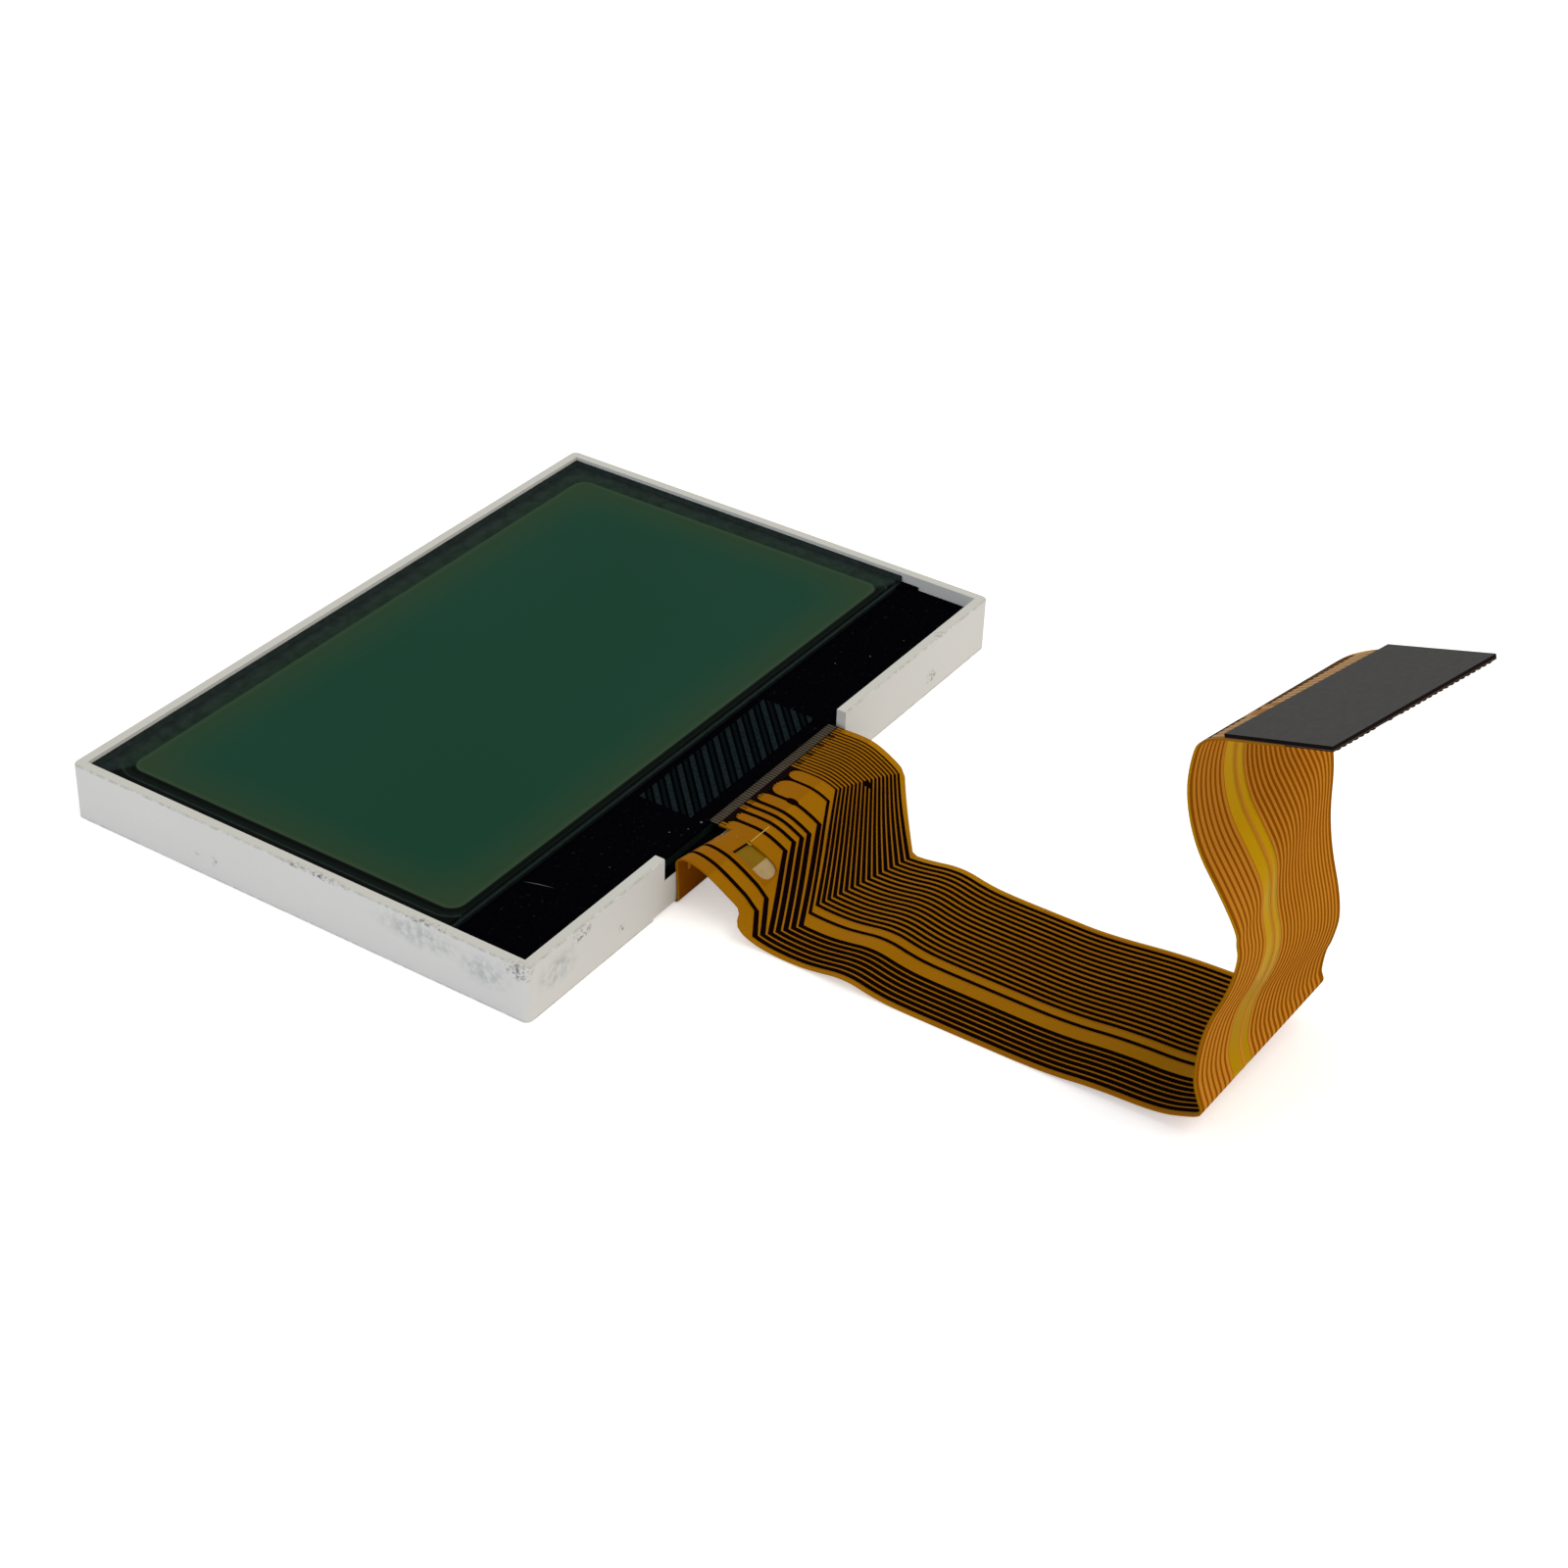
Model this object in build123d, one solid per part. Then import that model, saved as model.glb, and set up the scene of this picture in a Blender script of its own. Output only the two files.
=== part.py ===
from build123d import *
import math
import os

os.makedirs("parts", exist_ok=True)

# Driving dimensions, millimetres. X runs along the long side of the frame, Y across it, Z up.
# Sketch origin: the front left corner of the frame on the table; moved to the frame centre at export.
FRAME_L = 55.4
FRAME_W = 38.0
FRAME_H = 4.2
RIM_T = 0.75
CORNER_R = 0.5
EDGE_R = 0.12
FIT = 0.1
NOTCH_X0 = 14.35
NOTCH_X1 = 35.9
NOTCH_FLOOR = 0.1
WINDOW_MARGIN = 1.25
LEDGE_W = 6.05
REFLECTOR_T = 0.15
REFLECTOR_LAND = 0.8
REFLECTOR_RECESS = 0.0
GUIDE_T = 1.7
DIFFUSER_T = 0.15
POLARISER_T = 0.15
TAPE_T = 0.10
GLASS_T = 0.70
COVER_T = 0.50
CELL_GAP = 0.02
SEAL_W = 1.9
SEAL_FRONT_W = 1.1
VIEW_R = 1.0
POLARISER_INSET = 0.3
COAT_T = 0.25
CHIP_L = 14.0
CHIP_W = 1.3
CHIP_T = 0.20
BAR_T = 0.02
BAR_N = 11
PLUG_L = 3.0
PLUG_T = 0.25
PLUG_Y0 = 24.3
BOARD_L = 46.0
BOARD_W = 3.5
BOARD_T = 0.12
LED_N = 3
LED_L = 3.0
LED_D = 1.2
LED_H = 1.0
BASE_T = 0.05
COPPER_T = 0.035
COVERLAY_T = 0.05
ACF_T = 0.02
FLEX_W = 14.6
HEAD_X0 = 20.9
TAB_X0 = 15.6
TAB_W = 4.35
TAIL_X0 = 14.55
FLEX_FLOOR = 0.01
BOND_L = 1.3
PITCH = 0.5
TRACE_MARGIN = 0.5
DUTY = 0.56
STIFFENER_T = 0.22
STIFFENER_GLUE_T = 0.05
STIFFENER_W = 7.3
PAD_L = 3.2
PAD_T = 0.01

# Heights that follow from the stack
Z_GUIDE = REFLECTOR_RECESS + REFLECTOR_T
Z_DIFF = Z_GUIDE + GUIDE_T
Z_POL = Z_DIFF + 2 * DIFFUSER_T
Z_REAR = Z_POL + POLARISER_T
Z_SHELF = Z_REAR - TAPE_T
Z_LEDGE = Z_REAR + GLASS_T
Z_FRONT = Z_LEDGE + CELL_GAP
Z_TOP = Z_FRONT + COVER_T
NOTCH_H = Z_REAR + NOTCH_FLOOR
FLEX_T = BASE_T + COPPER_T + COVERLAY_T
HEAD_X1 = HEAD_X0 + FLEX_W
TAIL_X1 = TAIL_X0 + FLEX_W
TAB_X1 = TAB_X0 + TAB_W

# Plan limits that follow from the frame
POCKET_X0 = RIM_T
POCKET_X1 = FRAME_L - RIM_T
POCKET_Y0 = RIM_T
POCKET_Y1 = FRAME_W - RIM_T
CELL_X0 = POCKET_X0 + FIT
CELL_X1 = POCKET_X1 - FIT
CELL_Y0 = POCKET_Y0 + FIT
CELL_Y1 = POCKET_Y1 - FIT
COVER_Y0 = CELL_Y0 + LEDGE_W
WIN_X0 = POCKET_X0 + WINDOW_MARGIN
WIN_X1 = POCKET_X1 - WINDOW_MARGIN
WIN_Y0 = COVER_Y0 + 0.2
WIN_Y1 = POCKET_Y1 - WINDOW_MARGIN
VIEW_X0 = CELL_X0 + SEAL_W
VIEW_X1 = CELL_X1 - SEAL_W
VIEW_Y0 = COVER_Y0 + SEAL_FRONT_W
VIEW_Y1 = CELL_Y1 - SEAL_W


def box(x0, x1, y0, y1, z0, z1):
    b = Box(x1 - x0, y1 - y0, z1 - z0, align=(Align.MIN, Align.MIN, Align.MIN))
    return b.moved(Location((x0, y0, z0)))


def round_box(x0, x1, y0, y1, z0, z1, r):
    b = box(x0, x1, y0, y1, z0, z1)
    return fillet(b.edges().filter_by(Axis.Z), r)


def prism(points, z0, z1):
    f = Face(Wire.make_polygon([Vector(x, y, z0) for x, y in points], close=True))
    return Solid.extrude(f, Vector(0, 0, z1 - z0))


# Backlight frame: a moulded tub ring with a shelf under the glass, a wide front bar that holds the
# lamps, a notch in the front wall for the flexible circuit and a shallow recess under the front bar.
frame = round_box(0, FRAME_L, 0, FRAME_W, 0, FRAME_H, CORNER_R)
frame = fillet(frame.edges().filter_by(Plane.XY).group_by(Axis.Z)[-1], EDGE_R)
frame -= box(POCKET_X0, POCKET_X1, POCKET_Y0, POCKET_Y1, Z_SHELF, FRAME_H + 1)
frame -= box(WIN_X0, WIN_X1, WIN_Y0, WIN_Y1, -1, FRAME_H + 1)
REFL_X0 = WIN_X0 - REFLECTOR_LAND
REFL_X1 = WIN_X1 + REFLECTOR_LAND
REFL_Y0 = WIN_Y0 - 0.1
REFL_Y1 = WIN_Y1 + REFLECTOR_LAND
frame -= box(REFL_X0 - FIT, REFL_X1 + FIT, REFL_Y0 - FIT, REFL_Y1 + FIT, -1, Z_GUIDE)
frame -= box(NOTCH_X0, NOTCH_X1, -1, RIM_T + 0.001, NOTCH_H, FRAME_H + 1)
BOARD_X0 = (FRAME_L - BOARD_L) / 2
BOARD_Y1 = WIN_Y0 - 0.15
BOARD_Y0 = BOARD_Y1 - BOARD_W
Z_BOARD = 0.2
frame -= box(BOARD_X0 - FIT, BOARD_X0 + BOARD_L + FIT, BOARD_Y0 - 0.6, REFL_Y0, -1, Z_BOARD)
frame -= box(NOTCH_X0 - 1.25, TAB_X1 + 0.6, -1, BOARD_Y0, -1, Z_BOARD)
led_xs = [FRAME_L / 2 + (i - (LED_N - 1) / 2) * BOARD_L * 0.36 for i in range(LED_N)]
LED_Y1 = WIN_Y0
for lx in led_xs:
    frame -= box(lx - LED_L / 2 - FIT, lx + LED_L / 2 + FIT, LED_Y1 - LED_D - FIT, WIN_Y0 + 0.01,
                 -1, Z_BOARD + LED_H + FIT)
frame -= box(CELL_X0 - PLUG_T - 0.02, CELL_X0, PLUG_Y0 - 0.3, PLUG_Y0 + PLUG_L + 0.3, Z_SHELF, FRAME_H - 0.3)

# Reflector sheet: white film glued into the step under the window
reflector = box(REFL_X0, REFL_X1, REFL_Y0, REFL_Y1, REFLECTOR_RECESS, Z_GUIDE)

# Light guide: clear moulded plate in the window, lying on the reflector
guide = round_box(WIN_X0 + FIT, WIN_X1 - FIT, WIN_Y0 + FIT, WIN_Y1 - FIT, Z_GUIDE, Z_DIFF, 0.4)

# Two diffuser films on top of the light guide
diffuser_low = round_box(WIN_X0 + FIT, WIN_X1 - FIT, WIN_Y0 + FIT, WIN_Y1 - FIT,
                         Z_DIFF, Z_DIFF + DIFFUSER_T, 0.4)
diffuser_high = round_box(WIN_X0 + FIT, WIN_X1 - FIT, WIN_Y0 + FIT, WIN_Y1 - FIT,
                          Z_DIFF + DIFFUSER_T, Z_POL, 0.4)

# Rear polariser: fills the window between the diffuser and the rear glass
pol_rear = round_box(WIN_X0 + FIT, WIN_X1 - FIT, WIN_Y0 + FIT, WIN_Y1 - FIT, Z_POL, Z_REAR, 0.4)

# Cell tape: double sided ring on the shelf under the rear glass
tape = box(CELL_X0, CELL_X1, CELL_Y0, CELL_Y1, Z_SHELF, Z_REAR)
tape -= box(WIN_X0, WIN_X1, WIN_Y0, WIN_Y1, Z_SHELF - 1, Z_REAR + 1)

# Rear glass with the contact ledge along the front
rear_glass = box(CELL_X0, CELL_X1, CELL_Y0, CELL_Y1, Z_REAR, Z_LEDGE)

# Perimeter seal: black printed adhesive border between the glasses, open in the middle
seal = box(CELL_X0, CELL_X1, COVER_Y0, CELL_Y1, Z_LEDGE, Z_FRONT)
seal -= round_box(VIEW_X0, VIEW_X1, VIEW_Y0, VIEW_Y1, Z_LEDGE - 1, Z_FRONT + 1, VIEW_R)

# Liquid crystal layer inside the seal
crystal = round_box(VIEW_X0, VIEW_X1, VIEW_Y0, VIEW_Y1, Z_LEDGE, Z_FRONT, VIEW_R)

# Front glass, shorter than the rear one so that the ledge stays free
front_glass = box(CELL_X0, CELL_X1, COVER_Y0, CELL_Y1, Z_FRONT, Z_TOP)

# Front polariser on the front glass
pol_front = round_box(CELL_X0 + POLARISER_INSET, CELL_X1 - POLARISER_INSET,
                      COVER_Y0 + POLARISER_INSET, CELL_Y1 - POLARISER_INSET,
                      Z_TOP, Z_TOP + POLARISER_T, 0.3)

# Fill plug: cured bead over the filling gap at the cell's left side, in a pocket of the rim
plug = box(CELL_X0 - PLUG_T, CELL_X0, PLUG_Y0, PLUG_Y0 + PLUG_L, Z_REAR + 0.2, Z_TOP - 0.1)

# Driver chip: bare die on the ledge under the coat
CHIP_X0 = (HEAD_X0 + HEAD_X1 - CHIP_L) / 2
CHIP_Y0 = CELL_Y0 + LEDGE_W * 0.48
chip = box(CHIP_X0, CHIP_X0 + CHIP_L, CHIP_Y0, CHIP_Y0 + CHIP_W, Z_LEDGE, Z_LEDGE + CHIP_T)

# Anisotropic film between the ledge and the flexible circuit
FLEX_Y1 = CELL_Y0 + BOND_L
acf = box(HEAD_X0 + 0.1, HEAD_X1 - 0.1, CELL_Y0 + 0.05, FLEX_Y1 - 0.05, Z_LEDGE, Z_LEDGE + ACF_T)

# Ledge coat: black coat over the ledge, with room for the chip and the circuit's end, and a bead
# up the side of the front glass at the right hand corner
coat = box(CELL_X0, CELL_X1, CELL_Y0, COVER_Y0, Z_LEDGE, Z_LEDGE + COAT_T)
coat -= box(CHIP_X0, CHIP_X0 + CHIP_L, CHIP_Y0, CHIP_Y0 + CHIP_W, Z_LEDGE - 1, Z_LEDGE + CHIP_T)
Z_HEAD = Z_LEDGE + ACF_T + COPPER_T + BASE_T
coat -= box(HEAD_X0 - FIT, HEAD_X1 + FIT, CELL_Y0 - 1, FLEX_Y1 + FIT, Z_LEDGE - 1, Z_HEAD)
coat -= box(HEAD_X0 - FIT, HEAD_X1 + FIT, CELL_Y0 - 1, CELL_Y0 + 0.25, Z_LEDGE - 1, FRAME_H)
bead = Face(Wire.make_polygon([Vector(CELL_X1 - 0.9, COVER_Y0, Z_LEDGE + COAT_T),
                               Vector(CELL_X1, COVER_Y0, Z_LEDGE + COAT_T),
                               Vector(CELL_X1, COVER_Y0 - 1.4, Z_LEDGE + COAT_T)], close=True))
coat += Solid.extrude(bead, Vector(0, 0, Z_TOP - Z_LEDGE - COAT_T))

# Ledge bars: slanted dark grey printed stripes on the coat
BARS_X0 = HEAD_X0 - 0.6
BARS_X1 = HEAD_X1 - 0.2
BARS_Y0 = CELL_Y0 + 1.25
BARS_Y1 = CELL_Y0 + 5.5
bar_step = (BARS_X1 - BARS_X0) / BAR_N
field = box(BARS_X0, BARS_X1, BARS_Y0, BARS_Y1, Z_LEDGE + COAT_T, Z_LEDGE + COAT_T + BAR_T)
bars = []
slant = 0.5 * (BARS_Y1 - BARS_Y0)
for i in range(BAR_N + 2):
    bx = BARS_X0 + i * bar_step - slant * 0.3
    para = prism([(bx - slant, BARS_Y0 - 0.01), (bx - slant + bar_step * 0.5, BARS_Y0 - 0.01),
                  (bx + bar_step * 0.5, BARS_Y1 + 0.01), (bx, BARS_Y1 + 0.01)],
                 Z_LEDGE + COAT_T - 0.5, Z_LEDGE + COAT_T + 0.5)
    part_bar = (field & para)
    bars += [s for s in part_bar.solids() if s.volume > 1e-4]

# Lamp board: narrow rigid strip in the recess under the front bar
board = box(BOARD_X0, BOARD_X0 + BOARD_L, BOARD_Y0, BOARD_Y1, Z_BOARD - BOARD_T, Z_BOARD)

# Side lamps: three white emitters standing on the board, lighting the guide's edge
leds = [box(lx - LED_L / 2, lx + LED_L / 2, LED_Y1 - LED_D, LED_Y1, Z_BOARD, Z_BOARD + LED_H)
        for lx in led_xs]

# Flexible circuit. The upper face of its base film follows a bent line in the YZ plane as far as
# LINE_END, and from there ruled sections carry it over the crease and up to the stiffener.
Z_FLAT = FLEX_T + FLEX_FLOOR
DROP = Z_HEAD - Z_FLAT
HEAD_LINE = [(FLEX_Y1, 1.0), (0.3, 1.0), (-1.3, 1.012), (-2.2, 1.0), (-2.9, 0.945), (-3.6, 0.84), (-4.2, 0.73),
             (-4.8, 0.6), (-5.25, 0.44), (-5.75, 0.29), (-6.4, 0.16), (-7.3, 0.07), (-8.6, 0.02),
             (-10.4, 0.02), (-11.8, 0.09), (-13.0, 0.17), (-14.2, 0.17), (-15.6, 0.06),
             (-17.2, 0.0), (-21.5, 0.0)]
line = [(y, Z_FLAT + DROP * f) for y, f in HEAD_LINE]
LINE_END = HEAD_LINE[-1][0]


def offset_line(pts, d):
    out = []
    for i, (y, z) in enumerate(pts):
        ds = []
        if i > 0:
            ds.append((pts[i][0] - pts[i - 1][0], pts[i][1] - pts[i - 1][1]))
        if i < len(pts) - 1:
            ds.append((pts[i + 1][0] - pts[i][0], pts[i + 1][1] - pts[i][1]))
        ns = []
        for a, b in ds:
            n = math.hypot(a, b)
            ns.append((-b / n, a / n))
        sy = sum(n[0] for n in ns) / len(ns)
        sz = sum(n[1] for n in ns) / len(ns)
        k = sy * sy + sz * sz
        out.append((y + sy / k * d, z + sz / k * d))
    return out


def strip_wire(pts, d0, d1, x):
    a = offset_line(pts, d0)
    b = offset_line(pts, d1)
    ring = a + b[::-1]
    return Wire.make_polygon([Vector(x, y, z) for y, z in ring], close=True)


def strip(pts, d0, d1, x0, x1):
    f = Face(strip_wire(pts, d0, d1, x0))
    return Solid.extrude(f, Vector(x1 - x0, 0, 0))


# Depths of the layer faces below the upper face of the base film
D_BASE = (0.0, BASE_T)
D_COPPER = (BASE_T, BASE_T + COPPER_T)
D_COVER = (BASE_T + COPPER_T, FLEX_T)

# Tab for the lamps: leaves the head beside the slit, arches over the low wall, runs down its
# outside and tucks into the recess under the frame
TAB_ROOT = -4.8
TAB_TURN = -0.15
tab_in = [(-5.25, 0.44), (-4.8, 0.6), (-4.2, 0.73), (-3.6, 0.87), (-2.9, 1.02), (-2.2, 1.14),
          (-1.3, 1.21), (-0.75, 1.18), (-0.32, 1.04), (TAB_TURN, 0.82)]
tab_out = [(-5.25, 0.44), (-4.8, 0.6), (-4.2, 0.73), (-3.6, 0.84), (-2.9, 0.945), (-2.2, 1.0),
           (-1.3, 1.012), (-0.75, 1.008), (-0.32, 0.93), (TAB_TURN, 0.76)]
tab_down = [(TAB_TURN, Z_BOARD + 0.22), (TAB_TURN + 0.04, Z_BOARD + 0.07), (TAB_TURN + 0.13, Z_BOARD),
            (BOARD_Y0 - 0.05, Z_BOARD)]
line_in = ([(y, Z_FLAT + DROP * f) for y, f in tab_in] + tab_down)[::-1]
line_out = ([(y, Z_FLAT + DROP * f) for y, f in tab_out] + tab_down)[::-1]


def tab_loft(d0, d1, x0, x1):
    wires = []
    for x in (x0, x1):
        t = (x - TAB_X0) / (HEAD_X0 - TAB_X0)
        a0, a1 = offset_line(line_in, d0), offset_line(line_in, d1)
        b0, b1 = offset_line(line_out, d0), offset_line(line_out, d1)
        p = [(u[0] + (w[0] - u[0]) * t, u[1] + (w[1] - u[1]) * t) for u, w in zip(a0, b0)]
        q = [(u[0] + (w[0] - u[0]) * t, u[1] + (w[1] - u[1]) * t) for u, w in zip(a1, b1)]
        wires.append(Wire.make_polygon([Vector(x, y, z) for y, z in p + q[::-1]], close=True))
    return Solid.make_loft(wires, ruled=True) - box(x0 - 1, x1 + 1, -6, TAB_ROOT - 0.15, -1, FRAME_H)


# Folds of the strip after LINE_END: flat panels that meet at straight folds, as a film does that bends
# but can't stretch. Each row is a panel's length along the middle of the strip, how far the fold at
# its end leans (far side ahead of near side, as a part of the width), and the bend upwards in
# degrees at its start. The rows run from the tail over the crease and up to the stiffened end.
FOLDS = [(4.8, -0.22, 0), (4.7, -0.07, 8.5), (4.6, -0.02, -6.5), (2.5, 0.01, 18.5),
         (0.8, 0.05, 12), (0.3, 0.08, 14.5), (0.3, 0.08, 27), (0.6, 0.05, 44.5), (0.9, -0.03, -9.5),
         (2.7, -0.18, -22.5), (2.2, -0.37, -17), (2.6, -0.37, 13.5), (3.2, -0.04, 27.5),
         (3.1, 0.28, -15), (2.1, 0.24, 30), (1.9, 0.04, 4.5), (2.3, -0.13, -20.5), (2.6, -0.19, -20.5),
         (1.4, -0.12, -29), (1.4, -0.02, -21), (1.2, 0, -7.5), (STIFFENER_W, 0, -7.5)]
near = [Vector(TAIL_X0, LINE_END, Z_FLAT)]
across = [Vector(FLEX_W, 0, 0)]
along = []
lean_before = 0
heading = Vector(0, -1, 0)
for length, lean, bend in FOLDS:
    heading = heading.rotate(Axis((0, 0, 0), across[-1]), -bend)
    lead = (lean - lean_before) * FLEX_W
    far = near[-1] + across[-1] + heading * (length + lead / 2)
    near.append(near[-1] + heading * (length - lead / 2))
    across.append(far - near[-1])
    along.append(heading)
    lean_before = lean
panel_n = [t.cross(w).normalized() for t, w in zip(along, across)]
FOLD_END = len(FOLDS)
# Way down through the layers at each fold, one millimetre deep in both panels. It slides along the
# fold by as much as keeps every layer's side walls flat.
sinks = [panel_n[0] * -1]
for i in range(1, FOLD_END + 1):
    n0 = panel_n[i - 1]
    n1 = panel_n[min(i, FOLD_END - 1)]
    bisector = (n0 + n1) * (-1 / (1 + n0.dot(n1)))
    side = along[i - 1].cross(n0)
    slide = (sinks[-1] - bisector).dot(side) / across[i].dot(side)
    sinks.append(bisector + across[i] * slide)


def fold_point(i, v, d, back=0.0):
    return near[i] + across[i] * (v / FLEX_W) + sinks[i] * d - along[min(i, FOLD_END - 1)] * back


def band(v0, v1, d0, d1, first=0, last=FOLD_END, back=0.0):
    """A strip of one layer: v runs across the width, d down from the base film's upper face."""
    rings = []
    for i in range(first, last + 1):
        cut = back if i == last else 0.0
        rings.append([fold_point(i, v, d, cut) for v, d in ((v0, d0), (v1, d0), (v1, d1), (v0, d1))])
    faces = [Face(Wire.make_polygon(rings[0], close=True)), Face(Wire.make_polygon(rings[-1], close=True))]
    for a, b in zip(rings, rings[1:]):
        for k in range(4):
            m = (k + 1) % 4
            faces.append(Face(Wire.make_polygon([a[k], a[m], b[m], b[k]], close=True)))
    return Solid(Shell(faces))


# Plan outline of the head, the jog and the start of the tail
JOG_Y0 = -5.14
JOG_Y1 = -9.85
SLIT_Y = -0.75
outline = [(HEAD_X0, 3.0), (HEAD_X1, 3.0), (HEAD_X1, JOG_Y0 + 0.25), (HEAD_X1 - 0.22, JOG_Y0 - 0.2),
           (TAIL_X1 + 0.25, JOG_Y1 + 0.2), (TAIL_X1, JOG_Y1 - 0.3), (TAIL_X1, LINE_END - 1),
           (TAIL_X0, LINE_END - 1), (TAIL_X0, -6.0), (TAIL_X0 + 0.1, -5.6), (TAIL_X0 + 0.4, -5.35),
           (TAB_X0 - 0.15, -5.15), (TAB_X0, -4.95), (TAB_X0, TAB_ROOT), (HEAD_X0, TAB_ROOT)]
plan = prism(outline, -1, FRAME_H + 2)
slot = fillet(box(TAB_X1 - 1.05, TAB_X1 + 0.5, -4.72, -2.55, -1, FRAME_H + 2).edges().filter_by(Axis.Z),
              0.6)
slit = box(TAB_X1, HEAD_X0 + 1, SLIT_Y, BOARD_Y0 + 1, -1, FRAME_H + 2)


def film(depths, y_stop=None, tab_stop=None, end_trim=0.0):
    d0, d1 = depths
    main = strip(line, d0, d1, TAIL_X0 - 1, HEAD_X1 + 1) & plan
    if y_stop is not None:
        main = main - box(HEAD_X0 - 2, HEAD_X1 + 2, y_stop, FLEX_Y1 + 1, -1, FRAME_H + 2)
    tab = tab_loft(d0, d1, TAB_X0, HEAD_X0) - slit - slot
    if tab_stop is not None:
        tab = tab - box(TAB_X0 - 1, TAB_X1 + 1, tab_stop, BOARD_Y0 + 1, -1, Z_BOARD + 0.05)
    tail = band(0, FLEX_W, d0, d1, back=end_trim)
    whole = main.solids()[0] if len(main.solids()) == 1 else main
    return whole + tab + tail


print("films")
base_film = film(D_BASE)
coverlay = film(D_COVER, y_stop=CELL_Y0 - 0.55, tab_stop=BOARD_Y0 - 1.0, end_trim=PAD_L)

# Copper traces: straight in the tail, fanned through the jog, closer together in the head
present = [n for n in range(28) if n not in (7, 8, 10)]


def tail_x(n):
    return TAIL_X0 + TRACE_MARGIN + PITCH * n


def jog_low(n):
    if n <= 6:
        return (tail_x(n), -6.6 - 0.285 * n)
    if n == 9:
        return (tail_x(n), -7.88)
    return (tail_x(n), -7.8 - 0.125 * (n - 11))


# Upper bends of the near traces, in pitches from the head's near edge and from the frame's front
JOG_HIGH = {0: (-8.4, -11.2), 1: (-5.7, -10.9), 2: (2.2, -8.5), 3: (4.4, -8.4), 4: (6.0, -8.6),
            5: (7.5, -8.8), 6: (10.1, -8.7), 9: (14.4, -7.3)}
HEAD_PITCH = 0.34


def jog_high(n):
    if n in JOG_HIGH:
        x, y = JOG_HIGH[n]
        return (HEAD_X0 + x * PITCH, y * PITCH)
    return (HEAD_X0 + 8.55 + HEAD_PITCH * (n - 11), -3.43 - 0.1 * (n - 11))


BOND_X = {2: (0.25, 1.55), 3: (2.3, 2.6), 4: (2.75, 3.05), 5: (3.3, 3.6), 6: (4.5, 5.75),
          9: (6.6, 8.1)}
h_tail = PITCH * DUTY / 2
print("copper")
copper = []
copper_line = strip(line, D_COPPER[0], D_COPPER[1], TAIL_X0 - 1, HEAD_X1 + 1)
for n in present:
    ax, ay = jog_high(n)
    bx, by = jog_low(n)
    h_head = HEAD_PITCH * DUTY / 2 if n >= 11 else 0.12
    sa = (h_head, -0.1 * h_head / HEAD_PITCH) if n >= 11 else (h_head, -0.04)
    sb = (h_tail, -0.125 * h_tail / PITCH) if n >= 11 else (h_tail, -0.285 * h_tail / PITCH)
    if n < 2:
        top_y = TAB_ROOT
        ring_l = [(ax - h_head, top_y)]
        ring_r = [(ax + h_head, top_y)]
    elif n in BOND_X:
        x0, x1 = BOND_X[n]
        ring_l = [(HEAD_X0 + x0, FLEX_Y1 - 0.1), (HEAD_X0 + x0, 0.35)]
        ring_r = [(HEAD_X0 + x1, FLEX_Y1 - 0.1), (HEAD_X0 + x1, 0.35)]
        if x1 - x0 > 1.0:
            ring_l += [(ax - h_head - 0.25, -0.5), (ax - h_head - 0.06, -1.1)]
            ring_r += [(ax + h_head + 0.25, -0.5), (ax + h_head + 0.06, -1.1)]
    else:
        ring_l = [(ax - h_head, FLEX_Y1 - 0.1)]
        ring_r = [(ax + h_head, FLEX_Y1 - 0.1)]
    ring_l += [(ax - sa[0], ay - sa[1]), (bx - sb[0], by - sb[1]), (bx - h_tail, LINE_END - 0.5)]
    ring_r += [(ax + sa[0], ay + sa[1]), (bx + sb[0], by + sb[1]), (bx + h_tail, LINE_END - 0.5)]
    cut = prism(ring_l + ring_r[::-1], -1, FRAME_H + 2)
    piece = copper_line & cut
    v = bx - TAIL_X0
    piece = piece + band(v - h_tail, v + h_tail, D_COPPER[0], D_COPPER[1])
    if n < 2:
        piece = piece + tab_loft(D_COPPER[0], D_COPPER[1], ax - h_head, ax + h_head)
    copper += piece.solids()
print("traces", len(copper))

# Contact plating on the free end of every trace, under the stiffener
pads = []
for n in present:
    v = tail_x(n) - TAIL_X0
    ring = [fold_point(FOLD_END, v - h_tail, D_COPPER[1], PAD_L - 0.1),
            fold_point(FOLD_END, v + h_tail, D_COPPER[1], PAD_L - 0.1),
            fold_point(FOLD_END, v + h_tail, D_COPPER[1]),
            fold_point(FOLD_END, v - h_tail, D_COPPER[1])]
    pads.append(Solid.extrude(Face(Wire.make_polygon(ring, close=True)), panel_n[-1] * -PAD_T))

# Stiffener and its adhesive on the back of the free end
def end_plate(d0, d1):
    ring = [near[-2], near[-2] + across[-2], near[-1] + across[-1], near[-1]]
    face = Face(Wire.make_polygon([p + panel_n[-1] * d0 for p in ring], close=True))
    return Solid.extrude(face, panel_n[-1] * (d1 - d0))


stiff_glue = end_plate(0, STIFFENER_GLUE_T)
stiffener = end_plate(STIFFENER_GLUE_T, STIFFENER_GLUE_T + STIFFENER_T)

# Solder joints between the tab's two conductors and the lamp board
joints = []
for n in (0, 1):
    ax, ay = jog_high(n)
    z_cu = Z_BOARD - BASE_T - COPPER_T
    j = box(ax - 0.35, ax + 0.35, BOARD_Y0 - 0.6, BOARD_Y0 + 0.6, 0.03, z_cu)
    j -= box(ax - 1, ax + 1, BOARD_Y0, BOARD_Y0 + 2, Z_BOARD - BOARD_T, 1)
    joints.append(j)

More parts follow.
